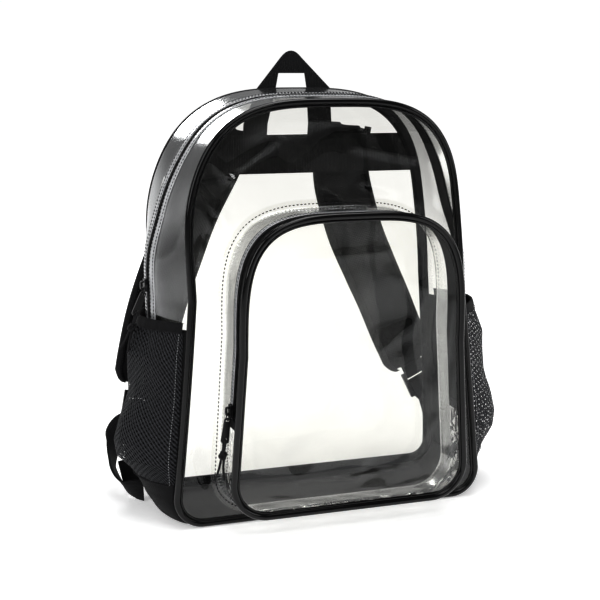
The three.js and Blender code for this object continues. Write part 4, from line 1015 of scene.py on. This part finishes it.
# The side pockets
def make_side_pockets():
    """Puffed mesh with an elastic mouth and a solid fabric bottom, on each side."""
    start = SIDE_POCKET_SEAM / DEPTH
    shares = mix(start, 1 - start, (1 - np.cos(math.pi * np.linspace(0, 1, 44))) / 2)
    band_low = SIDE_POCKET_TOP - SIDE_POCKET_BAND
    for side, name in ((1, "right"), (-1, "left")):
        centre = (side * 120, 0, 100)

        def wall_points(heights, extra=0.0):
            return side_pocket_at(side, heights[:, None], shares[None, :], extra)

        belly = np.sin(math.pi * (shares - start) / (1 - 2 * start))[None, :]
        heights = np.linspace(SIDE_POCKET_SOLID - 0.5, band_low + 0.5, 70)
        base = wall_points(heights)
        near_band = np.clip((heights - 150) / 50, 0, 1)[:, None]
        gathers = 1.3 * np.sin(shares * 95)[None, :] * near_band * belly
        creases = ripples(base, 2.6, 34, 21 + side, (1, 1.1, 0.5)) * belly
        net_points = wall_points(heights, gathers + creases + 0.6)
        net = skin_piece(f"side_net_{name}", net_points, centre=centre)
        dress(net, "net", "mesh_black", f"side_pocket_mesh_{name}")

        heights = np.linspace(2.6, SIDE_POCKET_SOLID, 26)
        soft = ripples(wall_points(heights), 0.8, 30, 31 + side) * belly
        low = skin_piece(f"side_bottom_{name}", wall_points(heights, soft + 1.0), centre=centre)
        dress(thicken(low, 1.3), "cloth", "fabric_black", f"side_pocket_bottom_{name}")

        heights = np.linspace(band_low, SIDE_POCKET_TOP, 8)
        crown = 0.7 * np.sin(math.pi * np.linspace(0, 1, 8))[:, None]
        pucker = 0.5 * np.sin(shares * 150)[None, :] * belly
        band = skin_piece(f"side_band_{name}", wall_points(heights, crown + pucker + 1.2), centre=centre)
        dress(thicken(band, 1.8), "elastic", "fabric_black", f"side_pocket_band_{name}")
        heights = np.linspace(SIDE_POCKET_SOLID, SIDE_POCKET_TOP - 12, 90)
        edges = [(side_pocket_at(side, heights, share, 2.4), (side, 0, 0), False)
                 for share in (start + 0.012, 1 - start - 0.012)]
        # The net's edge stitches are pale grey as a painted highlight
        sew(f"side_edge_stitches_{name}", edges, "pale_thread", "fabric_black", 0.75)
        seams = [(side_pocket_at(side, z, shares[2:-2], lift), (side, 0, 0), False)
                 for z, lift in ((band_low + 1.2, 2.6), (SIDE_POCKET_SOLID - 1.6, 2.0))]
        sew(f"side_stitches_{name}", seams, "grey_thread", "fabric_black", 0.8)


# The back
def plate_piece(name, outline, low_out, thick):
    """A flat sewn piece on the back: an outline in X and Z, rounded at its edges."""
    edit = bmesh.new()
    edit.faces.new([edit.verts.new(((x + float(lean(z))) * MM, (float(back_y(z)) + low_out) * MM, z * MM))
                    for x, z in outline])
    bmesh.ops.triangulate(edit, faces=edit.faces)
    bmesh.ops.subdivide_edges(edit, edges=edit.edges, cuts=3, use_grid_fill=True)
    layer = edit.loops.layers.uv.new("cloth")
    for face in edit.faces:
        for corner in face.loops:
            corner[layer].uv = (corner.vert.co.z, corner.vert.co.x)
    bmesh.ops.recalc_face_normals(edit, faces=edit.faces)
    if edit.faces[0].normal.y < 0:
        bmesh.ops.reverse_faces(edit, faces=edit.faces)
    mesh = bpy.data.meshes.new(name)
    edit.to_mesh(mesh)
    edit.free()
    piece = thicken(put_in_scene(name, mesh), thick, outwards=True)
    soft = piece.modifiers.new("soft", "BEVEL")
    soft.width = 0.35 * MM
    soft.segments = 2
    soft.limit_method = "ANGLE"
    return apply_modifiers(piece)


def binding_edge(z, side):
    """How far across the back binding's inner edge stands at a height."""
    places = np.linspace(WAIST, CROWN, 400)
    line = body_at(places if side > 0 else LOOP - places, 1.0, -(BINDING - 1.0))
    return float(np.interp(z, line[:, 2], line[:, 0])) - float(lean(z))


# The haul loop's outline across and up, from its left leg round its opening and right leg
LOOP_SEAT = ((-56.5, 356), (-29.5, 356), (-29.5, 404), (-22.0, 442), (-19, 458), (11, 458), (13.5, 442),
             (17.5, 404), (17.5, 356), (44.5, 356), (44.5, 404), (40.5, 442))


def loop_tip():
    """The low arch at the haul loop's top."""
    t = np.linspace(0, 1, 9)
    return np.stack([7 - 23 * t, 475 + 28 * t * (1 - t)], -1)


# A box with a cross in it, sewn through each leg of the haul loop
BOX_STITCHES = ((-11, 358, 11, 358), (-11, 388, 11, 388), (-11, 358, -11, 388), (11, 358, 11, 388),
                (-11, 358, 11, 388), (11, 358, -11, 388))


def make_back_webbing():
    """Yoke band and haul loop with their stitches."""
    levels = np.linspace(*YOKE, 6)
    outline = [(binding_edge(z, 1), z) for z in levels] + [(binding_edge(z, -1), z) for z in levels[::-1]]
    dress(plate_piece("yoke_webbing", outline, 0.4, 1.9), "webbing", "webbing_black", "yoke_band")
    outline = [*LOOP_SEAT, *((float(x), float(z)) for x, z in loop_tip()), (-43.0, 442), (-56.5, 404)]
    dress(plate_piece("haul_webbing", outline, 2.6, 1.9), "webbing", "webbing_black", "haul_loop")
    stitches = []
    for middle in (-43.0, 31.0):
        for x0, z0, x1, z1 in BOX_STITCHES:
            z = np.linspace(z0, z1, 8)
            x = np.linspace(middle + x0, middle + x1, 8) + lean(z)
            stitches.append((np.stack([x, back_y(z) + 4.7, z], -1), (0, 1, 0), False))
    for z in (YOKE[0] + 2.5, YOKE[1] - 2.5):
        x = np.linspace(binding_edge(z, -1) + 2, binding_edge(z, 1) - 2, 60) + float(lean(z))
        stitches.append((np.stack([x, 0 * x + float(back_y(z)) + 2.4, 0 * x + z], -1), (0, 1, 0), False))
    sew("back_stitches", stitches, "thread", "webbing_black", 0.8)


def strap_centre(side, t):
    """Points down the middle of a strap, from its sewn end, 0, to its tip, 1."""
    height = mix(0.94, 0.27, t)
    z = height * FRONT["top"]
    thick = strap_thickness(t)
    y = back_y(z) + 4.8 + thick / 2 + STRAP["bow"] * np.maximum(0, STRAP_BOW(height))
    return np.stack([side * BACK["base"] * STRAP_ACROSS[side](height) + lean(z), y, z], -1)


def strap_thickness(t):
    """A strap is thin where it is sewn in, and has its pad's full thickness below."""
    return mix(STRAP["sewn"], STRAP["thick"], np.clip(t / STRAP["sewn_share"] - 1, 0, 1))


def strap_frame(side):
    """Places down a strap, its centre line, and the directions along, across and off it."""
    t = np.linspace(0, 1, 90)
    line = strap_centre(side, t)
    run = frames_along(line)
    across = unit(np.array([1.0, 0, 0]) - run * run[:, :1])
    off = np.cross(across, run)
    off *= np.sign(off[:, 1:2])
    return t, line, run, across, off


# The pads' simulation: the even mesh's step, the share of the half width past which it is sewn
# down, and its frames
PAD_VOXEL = 4.5
PAD_BOUND = 0.8
PAD_FRAMES = 20


def puff_out(piece, line, across):
    """Fills a strap's pad by a short cloth simulation under pressure, held along its bound edges."""
    sized = bmesh.new()
    sized.from_mesh(piece.data)
    bmesh.ops.triangulate(sized, faces=sized.faces)
    sized.to_mesh(piece.data)
    sized.free()
    remesh = piece.modifiers.new("even", "REMESH")
    remesh.mode = "VOXEL"
    remesh.voxel_size = PAD_VOXEL * MM
    apply_modifiers(piece)
    at_rest = np.array([v.co for v in piece.data.vertices])
    place = np.array([np.argmin(((line * MM - p) ** 2).sum(-1)) for p in at_rest])
    lane = ((at_rest - line[place] * MM) * across[place]).sum(-1) / MM
    half = np.array([np.abs(lane[np.abs(place - k) < 3]).max() for k in range(len(line))])[place]
    held = piece.vertex_groups.new(name="bound")
    ends = (place < 4) | (place > len(line) - 4)
    held.add([int(k) for k in np.flatnonzero((np.abs(lane) > half * PAD_BOUND) | ends)], 1.0, "REPLACE")

    scene = bpy.context.scene
    cloth = piece.modifiers.new("cloth", "CLOTH")
    cloth.settings.vertex_group_mass = "bound"
    cloth.settings.use_pressure = True
    cloth.settings.uniform_pressure_force = scene.backpack_straps.pressure
    cloth.settings.effector_weights.gravity = 0
    cloth.settings.quality = 4
    cloth.collision_settings.use_collision = False
    for number in range(1, PAD_FRAMES + 1):
        scene.frame_set(number)
    filled = piece.evaluated_get(bpy.context.evaluated_depsgraph_get())
    moved = np.array([v.co for v in filled.to_mesh().vertices]) - at_rest
    filled.to_mesh_clear()
    piece.modifiers.clear()
    scene.frame_set(1)
    far = np.maximum(length_of(moved), 1e-9)
    capped = at_rest + moved / far * np.minimum(far, scene.backpack_straps.puff)
    piece.data.vertices.foreach_set("co", capped.ravel())
    piece.vertex_groups.clear()
    smooth = piece.modifiers.new("even_out", "SMOOTH")
    smooth.factor, smooth.iterations = 0.5, 3
    apply_modifiers(piece)


def lay_flat(piece, line, across):
    """Gives a strap's pad a UV map of its lengths along and across the strap."""
    mesh = piece.data
    at = np.array([v.co for v in mesh.vertices]) / MM
    place = np.array([np.argmin(((line - p) ** 2).sum(-1)) for p in at])
    away = at - line[place]
    step = float(length_of(np.diff(line, axis=0)).mean())
    long = (place * step + (away * frames_along(line)[place]).sum(-1)) * MM
    wide = (away * across[place]).sum(-1) * MM
    while mesh.uv_layers:
        mesh.uv_layers.remove(mesh.uv_layers[0])
    layer = mesh.uv_layers.new(name="cloth")
    order = np.array([corner.vertex_index for corner in mesh.loops])
    layer.data.foreach_set("uv", np.stack([long[order], wide[order]], -1).ravel())
    shade_smooth(mesh)


# The edge tape's section over a pad's rim, as shares of the half width and half thickness
EDGE_TAPE = np.array([(0.80, 1.0), (0.9, 0.93), (0.985, 0.62), (1.012, 0.0), (0.985, -0.62), (0.9, -0.93),
                      (0.80, -1.0)])


def make_straps():
    """Padded straps with bound edges."""
    for side, name in ((1, "right"), (-1, "left")):
        t, line, run, across, off = strap_frame(side)
        length = float(length_of(np.diff(line, axis=0)).sum())
        left = (1 - t) * length
        half = mix(STRAP["end"], STRAP["width"], np.clip(left / STRAP["tip"], 0, 1) ** 0.6) / 2
        thick = strap_thickness(t) / 2
        lanes = np.linspace(-1, 1, 25)
        crown = (1 - np.abs(lanes) ** 5) ** 0.5
        pad = np.concatenate([np.stack([lanes, crown], -1),
                              np.stack([lanes[::-1][1:-1], -crown[::-1][1:-1]], -1)])
        wave = 1 + 0.04 * np.sin(t * 60)
        sections = (line[:, None] + across[:, None] * (half[:, None] * pad[None, :, 0])[..., None]
                    + off[:, None] * (thick[:, None] * wave[:, None] * (0.12 * np.sign(pad[None, :, 1])
                                      * (np.abs(pad[None, :, 1]) > 0) + 0.88 * pad[None, :, 1]))[..., None])
        piece = swept_piece(f"strap_pad_{name}", sections)
        puff_out(piece, line, across)
        lay_flat(piece, line, across)
        dress(piece, "spacer", "fabric_black", f"shoulder_strap_{name}")
        for edge, word in ((1, "outer"), (-1, "inner")):
            wide = edge * (half[:, None] + 0.4) * EDGE_TAPE[None, :, 0]
            high = (thick[:, None] + 0.45) * EDGE_TAPE[None, :, 1]
            rows = line[:, None] + across[:, None] * wide[..., None] + off[:, None] * high[..., None]
            tape = skin_piece(f"strap_edge_{name}_{word}", rows, centre=tuple(line[45]))
            dress(thicken(tape, 0.5), "webbing", "fabric_black")
        rows = []
        for edge in (1, -1):
            for face in (1, -1):
                place = (line + across * (edge * (half + 0.4) * 0.83)[:, None]
                         + off * (face * (thick + 0.75))[:, None])
                rows.append((place[2:-2], off[2:-2] * face, False))
        sew(f"strap_stitches_{name}", rows, "thread", "fabric_black", 0.8)
        make_strap_end(side, name, line[-1], run[-1], across[-1], off[-1])


# The free end of the adjusting webbing: shares of the back's half width, of half the depth and of
# the webbing's width, and the direction across it
TAIL = ((1.128, 1.633, 2.72, (0.85, 0.2, 0.1)), (1.19, 1.4, 2.1, (0.6, -0.6, 0.15)),
        (1.215, 1.15, 1.46, (0.35, -0.92, 0.18)), (1.195, 0.95, 0.94, (0.33, -0.9, 0.3)),
        (1.155, 0.8, 0.62, (0.3, -0.6, 0.7)), (1.11, 0.68, 0.56, (0.2, -0.3, 0.93)),
        (1.06, 0.58, 0.56, (0.1, 0, 1)))


def band_sections(points, across):
    """Sections of flat webbing with soft edges."""
    run = frames_along(points)
    wide = unit(across - run * (across * run).sum(-1, keepdims=True))
    off = np.cross(run, wide)
    lower = [(-0.5, -0.3), (-0.48, -0.5), (-0.25, -0.5), (0, -0.5), (0.25, -0.5), (0.48, -0.5), (0.5, -0.3)]
    shape = np.array(lower + [(-x, -z) for x, z in lower])
    return (points[:, None] + wide[:, None] * (shape[None, :, 0:1] * WEB_WIDTH)
            + off[:, None] * (shape[None, :, 1:2] * WEB_THICK))


def make_strap_end(side, name, origin, run, wide, out):
    """The buckle's loop, the adjusting webbing and the anchor tab at one bottom corner."""
    thick, lead, long, bar = (BUCKLE[key] for key in ("thick", "lead", "length", "bar"))
    turn_out = thick / 2 + GAP + WEB_THICK / 2 + 0.5
    turn_reach = bar / 2 + GAP + WEB_THICK / 2 + 1.3
    corner = (turn_reach * 0.7, turn_out * 0.92)

    def at(a, c):
        return origin + run * a + out * c

    middle = lead + bar / 2
    hold = [(-1.0, turn_out), (middle, turn_out), (middle + corner[0], corner[1]), (middle + turn_reach, 0),
            (middle + corner[0], -corner[1]), (middle, -turn_out), (-1.0, -turn_out)]
    line = smooth_line([at(a, c) for a, c in hold], 60)
    loop = swept_piece(f"buckle_webbing_{name}", band_sections(line, np.broadcast_to(wide, line.shape)))
    dress(loop, "webbing", "webbing_black", f"buckle_loop_{name}")

    slot_tall = (long - 3 * bar) / 2
    second = lead + bar + slot_tall + bar / 2
    end = lead + long
    tab_y = float(back_y(48.0)) + BINDING_OUT + GAP + FABRIC
    tab = np.array([side * 185.0, tab_y + 1.5, 18.0])
    tab_across = (1, 0, side * 0.2)
    route = [(tab, tab_across), (tab + np.array([-side * 2.0, 1.5, 18.0]), tab_across),
             (at(end + 10, -turn_out - 1.5), wide), (at(end - 2, -turn_out), wide),
             (at(second + 1, -turn_out), wide),
             (at(second - corner[0], -corner[1]), wide), (at(second - turn_reach, 0), wide),
             (at(second - corner[0], corner[1]), wide), (at(second + 1, turn_out), wide),
             (at(end - 2, turn_out), wide)]
    for x, y, z, across in TAIL:
        route.append((np.array([side * x * BACK["base"], y * DEPTH / 2, z * WEB_WIDTH]),
                      (across[0], side * across[1], side * across[2])))
    points = smooth_line([p for p, _ in route], 150)
    share = np.linspace(0, len(route) - 1, 150)
    ways = np.array([np.asarray(w, float) for _, w in route])
    across = np.stack([np.interp(share, np.arange(len(route)), ways[:, k]) for k in range(3)], -1)
    web = swept_piece(f"adjusting_webbing_{name}", band_sections(points, unit(across)))
    dress(web, "webbing", "webbing_black", f"strap_webbing_{name}")

    outline = [(side * x, z) for x, z in ((162.0, 6), (162.0, 48), (204.0, 40), (198.0, 12))][::side]
    dress(plate_piece(f"anchor_cloth_{name}", outline, BINDING_OUT + GAP, FABRIC), "cloth", "fabric_black",
          f"anchor_tab_{name}")


# Zip pulls
def frame_on(at, place, share):
    """A slider's seat on its coil: the origin, up along the zip, out of the bag and across."""
    origin = at(place, share, COIL_HEIGHT + SLIDER["ride"])
    up = unit(at(place - 0.1, share, 0) - at(place + 0.1, share, 0))
    out = at(place, share, 1) - at(place, share, 0)
    out = unit(out - up * float(out @ up))
    return origin, up, out, np.cross(up, out)


PULLS = {
    "main": (body_at, LOOP - (WAIST + 0.25), 0.5, 22.0),
    "pocket": (pocket_at, LOOP - pocket_place(POCKET_ZIP_END_Z + 9), POCKET_ZIP_MIDDLE, 4.0),
}


def make_pulls():
    """Braided cords with their knots, and finishes for the sliders, rings and tabs."""
    for name, (at, place, share, tilt) in PULLS.items():
        origin, up, out, across = frame_on(at, place, share)
        to_part = Matrix([[*v, o] for v, o in zip(np.stack([across, up, out], -1), origin)] + [[0, 0, 0, 1]])
        link_top = -SLIDER["bridge_reach"] + SLIDER["bridge_wall"] + GAP + LINK["wire"]
        link_off = SLIDER["height"] + (SLIDER["bridge_rise"] - SLIDER["bridge_wall"]) / 2
        turn = Matrix(((0, 0, -1, 0), (0, 1, 0, 0), (1, 0, 0, 0), (0, 0, 0, 1)))
        hang = (to_part @ Matrix.Translation((0, link_top - 2 * LINK["radius"], link_off))
                @ Matrix.Rotation(math.radians(-tilt), 4, "X") @ turn
                @ Matrix.Translation((0, TAB["slot"], 0)))

        def put(points):
            return np.array([hang @ Vector(p) for p in points])

        hole = TAB["hole"]
        off = TAB["thick"] / 2 + GAP + CORD_WIDTH / 2
        knot_top = -hole - KNOT["down"]
        knot_low = knot_top - KNOT["tall"]
        tail = CORD_WIDTH * 0.55
        for word, lead, side in (("inner", 1, -1), ("outer", -1, 1)):
            route = [(0, -hole + 0.6, 0), (0, -hole - 0.6, lead * off * 0.75), (0, -hole - 2.8, lead * off),
                     (0, -hole - 7, lead * off * 0.9), (0, -hole - 12, lead * 1.25),
                     (side * 0.4, knot_top - 3, lead * 0.9), (side * tail, knot_low, 0.0),
                     (side * (tail + 1.0), knot_low - TAIL_LENGTH / 2, 0),
                     (side * (tail + 3.4), knot_low - TAIL_LENGTH, 0)]
            line = smooth_line(put(route), 40)
            tube = swept_piece(f"{name}_cord_{word}",
                               tube_sections(line, CORD_WIDTH / 2, 12, up=tuple(across + 0.13)))
            nodes = [f"{name}_pull_tail_{word}"] + ([f"{name}_pull_cord"] if word == "inner" else [])
            dress(tube, "cord", "cord_black", *nodes)
        t = np.linspace(0, 2 * math.pi * 2, 72, endpoint=False)
        reach = KNOT["round"] + KNOT["wave"] * np.cos(1.5 * t)
        turns = np.stack([reach * np.cos(t), -KNOT["rise"] * np.sin(1.5 * t), reach * np.sin(t)], -1)
        line = put(turns + np.array([0, (knot_top + knot_low) / 2, 0]))
        sections = tube_sections(line, CORD_WIDTH / 2 * 0.95, 10, closed=True,
                                 up=tuple(up * 0.9 + across * 0.3))
        knot = swept_piece(f"{name}_knot", sections, ring=True)
        dress(knot, "cord", "cord_black", f"{name}_pull_knot")
        for part, look in (("slider", "metal"), ("pull_link", "metal"), ("pull_tab", "plastic")):
            paint(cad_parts[f"{name}_{part}"], look)
    for side in ("left", "right"):
        paint(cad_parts[f"strap_buckle_{side}"], "plastic")


# The stage: what the lights are turned to, and the camera's place, directions and lens
LIT_POINT = Vector((0, 0, 0.2))
CAMERA_PLACE = Vector((-456.724, -1255.521, 458.164))
CAMERA_RIGHT = Vector((0.943295, -0.331957, 0.0))
CAMERA_UP = Vector((0.058763, 0.166981, 0.984207))
CAMERA_LOOK = Vector((0.326714, 0.928398, -0.177019))
CAMERA_REACH = 1262.405
PICTURE_WIDTH = 600
SENSOR = 36


def make_stage(settings):
    """Pale floor, soft lights and the camera."""
    scene = bpy.context.scene
    bpy.ops.mesh.primitive_plane_add(size=16)
    floor = bpy.context.object
    floor.name = "floor"
    kit = Finish("pale_floor")
    grain = kit.cloud(kit.place(), 6.0, 2.0)
    pale = kit.colour(grain, settings.floor_colour, tuple(c * 0.985 for c in settings.floor_colour))
    _, depth, _ = kit.axes(kit.place())
    near = tuple(c * settings.near_floor for c in settings.floor_colour)
    glow = kit.colour(depth.ramp(-1.0, -0.42), tuple(c * settings.front_floor for c in near), near)
    glow = kit.colour(depth.ramp(0.4, 2.2), glow, settings.floor_colour)
    surface = kit.shader(Base_Color=pale, Roughness=0.7, Specular_IOR_Level=0.1, Emission_Color=glow,
                         Emission_Strength=settings.floor_glow)
    floor.data.materials.append(kit.done(surface))

    world = bpy.data.worlds.new("studio")
    scene.world = world
    world.use_nodes = True
    sky = Finish.on(world.node_tree)
    across, depth, height = sky.axes(sky.node("ShaderNodeTexCoord", out="Generated"))
    behind = (across * 0.3 + depth * 0.954).ramp(-0.1, 0.5)
    low = 1 - height.ramp(0.07, 0.24)
    backdrop = low * (1.0 - settings.high_sky) + settings.high_sky
    bright = behind * backdrop * (1 - settings.room) + settings.room
    light = sky.node("ShaderNodeBackground", {}, {"Color": bright, "Strength": settings.sky})
    sky.node("ShaderNodeOutputWorld", {}, {"Surface": light})

    side, top = settings.side_light, settings.top_light
    lights = (("left_box", (-1.5, -1.0, 1.0), 0.35, 1.3, side),
              ("right_box", (1.45, -1.2, 0.9), 0.3, 1.2, side * 0.7),
              ("front_strip", (-0.3, -1.6, 1.6), 1.3, 0.22, side * 0.6),
              ("top_box", (0.1, -0.1, 1.9), 1.5, 1.0, top),
              ("back_box", (-0.3, 1.8, 1.22), 0.75, 0.4, top * 0.36))
    for name, place, wide, tall, power in lights:
        lamp = bpy.data.lights.new(name, "AREA")
        lamp.shape = "RECTANGLE"
        lamp.size, lamp.size_y, lamp.energy = wide, tall, power
        box = put_in_scene(name, lamp)
        box.location = place
        box.rotation_euler = (LIT_POINT - Vector(place)).to_track_quat("-Z", "Y").to_euler()

    camera = put_in_scene("camera", bpy.data.cameras.new("camera"))
    scene.camera = camera
    turn = Matrix((CAMERA_RIGHT, CAMERA_UP, -CAMERA_LOOK)).transposed()
    camera.matrix_world = Matrix.Translation(CAMERA_PLACE * MM) @ turn.to_4x4()
    camera.data.sensor_width = SENSOR
    camera.data.lens = CAMERA_REACH / PICTURE_WIDTH * SENSOR
    scene.view_settings.view_transform = "Standard"
    scene.view_settings.gamma = settings.contrast


# What a user would change
class BackpackFilm(bpy.types.PropertyGroup):
    tint: bpy.props.FloatVectorProperty(name="Tint", subtype="COLOR", size=3, min=0, max=1,
                                        description="Light that one sheet of the film lets through",
                                        default=(0.955, 0.953, 0.935))
    mirror: bpy.props.FloatProperty(name="Mirror", description="Share of light that the film mirrors face on",
                                    subtype="FACTOR", default=0.045, min=0, max=1)
    crumple: bpy.props.FloatProperty(name="Crumple", description="Strength of the film's fine unevenness",
                                     default=0.3, min=0, max=2)


class BackpackStitches(bpy.types.PropertyGroup):
    pitch: bpy.props.FloatProperty(name="Stitch pitch", description="From one stitch to the next",
                                   unit="LENGTH", default=0.0036, min=0.001)
    length: bpy.props.FloatProperty(name="Stitch length", description="Length of one stitch", unit="LENGTH",
                                    default=0.0026, min=0.0005)
    width: bpy.props.FloatProperty(name="Thread width", description="Width of the thread", unit="LENGTH",
                                   default=0.00125, min=0.0001)
    height: bpy.props.FloatProperty(name="Thread height", description="Height of the thread", unit="LENGTH",
                                    default=0.001, min=0.0001)
    coil_pitch: bpy.props.FloatProperty(name="Coil pitch", unit="LENGTH", default=0.0015, min=0.0008,
                                        description="From one turn of a zip's coil to the next")


class BackpackStraps(bpy.types.PropertyGroup):
    pressure: bpy.props.FloatProperty(name="Filling", description="Pressure that fills the straps' pads",
                                      default=4.0, min=0)
    puff: bpy.props.FloatProperty(name="Puff", description="How far a pad's face may rise", unit="LENGTH",
                                  default=0.0018, min=0, max=0.005)


class BackpackStage(bpy.types.PropertyGroup):
    floor_colour: bpy.props.FloatVectorProperty(name="Floor", description="Colour of the floor",
                                                subtype="COLOR", size=3, default=(0.9, 0.9, 0.9),
                                                min=0, max=1)
    floor_glow: bpy.props.FloatProperty(name="Floor glow", description="Light that comes up through the floor",
                                        default=1.05, min=0)
    near_floor: bpy.props.FloatProperty(name="Near floor", description="Share of the glow left round the bag",
                                        default=0.45, min=0, max=1, subtype="FACTOR")
    front_floor: bpy.props.FloatProperty(name="Front floor", description="Share of the glow left far in front",
                                         default=0.06, min=0, max=1, subtype="FACTOR")
    contrast: bpy.props.FloatProperty(name="Gamma", description="Gamma of the finished picture, lower is deeper",
                                      default=0.75, min=0.3, max=2)
    sky: bpy.props.FloatProperty(name="Sky", description="Strength of the light all round",
                                 default=1.02, min=0)
    room: bpy.props.FloatProperty(name="Room", description="Brightness of the room behind the camera",
                                  default=0.1, min=0, max=1)
    high_sky: bpy.props.FloatProperty(name="High sky", description="Brightness of the backdrop's upper part",
                                      default=0.25, min=0, max=1)
    side_light: bpy.props.FloatProperty(name="Side boxes", description="Power of the side lights",
                                        default=13.0, min=0, unit="POWER")
    top_light: bpy.props.FloatProperty(name="Top box", description="Power of the light above",
                                       default=24.0, min=0, unit="POWER")


class BACKPACK_OT_body(bpy.types.Operator):
    """Make the clear panels and gusset"""
    bl_idname = "backpack.body"
    bl_label = "Clear body"

    def execute(self, context):
        make_film_body()
        return {"FINISHED"}


class BACKPACK_OT_trim(bpy.types.Operator):
    """Make the piping, binding, floor and sides"""
    bl_idname = "backpack.trim"
    bl_label = "Trim and floor"

    def execute(self, context):
        make_trim()
        return {"FINISHED"}


class BACKPACK_OT_main_zip(bpy.types.Operator):
    """Make the main zip with its teeth and stitches"""
    bl_idname = "backpack.main_zip"
    bl_label = "Main zip"

    def execute(self, context):
        make_zip("main_zip", body_at, OVER_TOP, 0.5, DEPTH, ZIP_WIDTH)
        return {"FINISHED"}


class BACKPACK_OT_front_pocket(bpy.types.Operator):
    """Make the front pocket"""
    bl_idname = "backpack.front_pocket"
    bl_label = "Front pocket"

    def execute(self, context):
        make_front_pocket()
        return {"FINISHED"}


class BACKPACK_OT_side_pockets(bpy.types.Operator):
    """Make the mesh side pockets"""
    bl_idname = "backpack.side_pockets"
    bl_label = "Side pockets"

    def execute(self, context):
        make_side_pockets()
        return {"FINISHED"}


class BACKPACK_OT_back(bpy.types.Operator):
    """Make the yoke band and the haul loop"""
    bl_idname = "backpack.back"
    bl_label = "Yoke and haul loop"

    def execute(self, context):
        make_back_webbing()
        return {"FINISHED"}


class BACKPACK_OT_straps(bpy.types.Operator):
    """Make the shoulder straps with their buckles' webbing"""
    bl_idname = "backpack.straps"
    bl_label = "Shoulder straps"

    def execute(self, context):
        make_straps()
        return {"FINISHED"}


class BACKPACK_OT_pulls(bpy.types.Operator):
    """Make the zip pulls and their cords"""
    bl_idname = "backpack.pulls"
    bl_label = "Zip pulls"

    def execute(self, context):
        make_pulls()
        return {"FINISHED"}


class BACKPACK_OT_stage(bpy.types.Operator):
    """Set the floor, lights and camera"""
    bl_idname = "backpack.stage"
    bl_label = "Stage"

    def execute(self, context):
        make_stage(context.scene.backpack_stage)
        return {"FINISHED"}


class BACKPACK_PT_panel(bpy.types.Panel):
    """Everything that the backpack is made of"""
    bl_idname = "BACKPACK_PT_panel"
    bl_label = "Clear backpack"
    bl_space_type = "VIEW_3D"
    bl_region_type = "UI"
    bl_category = "Backpack"

    def draw(self, context):
        for step in STEPS:
            self.layout.operator(step.bl_idname)
        for name, group in GROUPS.items():
            for key in group.__annotations__:
                self.layout.prop(getattr(context.scene, name), key)


STEPS = (BACKPACK_OT_stage, BACKPACK_OT_body, BACKPACK_OT_trim, BACKPACK_OT_main_zip,
         BACKPACK_OT_front_pocket, BACKPACK_OT_side_pockets, BACKPACK_OT_back, BACKPACK_OT_straps,
         BACKPACK_OT_pulls)
GROUPS = {"backpack_film": BackpackFilm, "backpack_stitches": BackpackStitches,
          "backpack_straps": BackpackStraps, "backpack_stage": BackpackStage}
CLASSES = (*GROUPS.values(), *STEPS, BACKPACK_PT_panel)


def register():
    for one in CLASSES:
        bpy.utils.register_class(one)
    for name, group in GROUPS.items():
        setattr(bpy.types.Scene, name, bpy.props.PointerProperty(type=group))


def unregister():
    for name in GROUPS:
        delattr(bpy.types.Scene, name)
    for one in reversed(CLASSES):
        bpy.utils.unregister_class(one)


def main():
    register()
    for step in STEPS:
        group, name = step.bl_idname.split(".")
        getattr(getattr(bpy.ops, group), name)()
    bpy.context.view_layer.update()


if __name__ == "__main__":
    main()
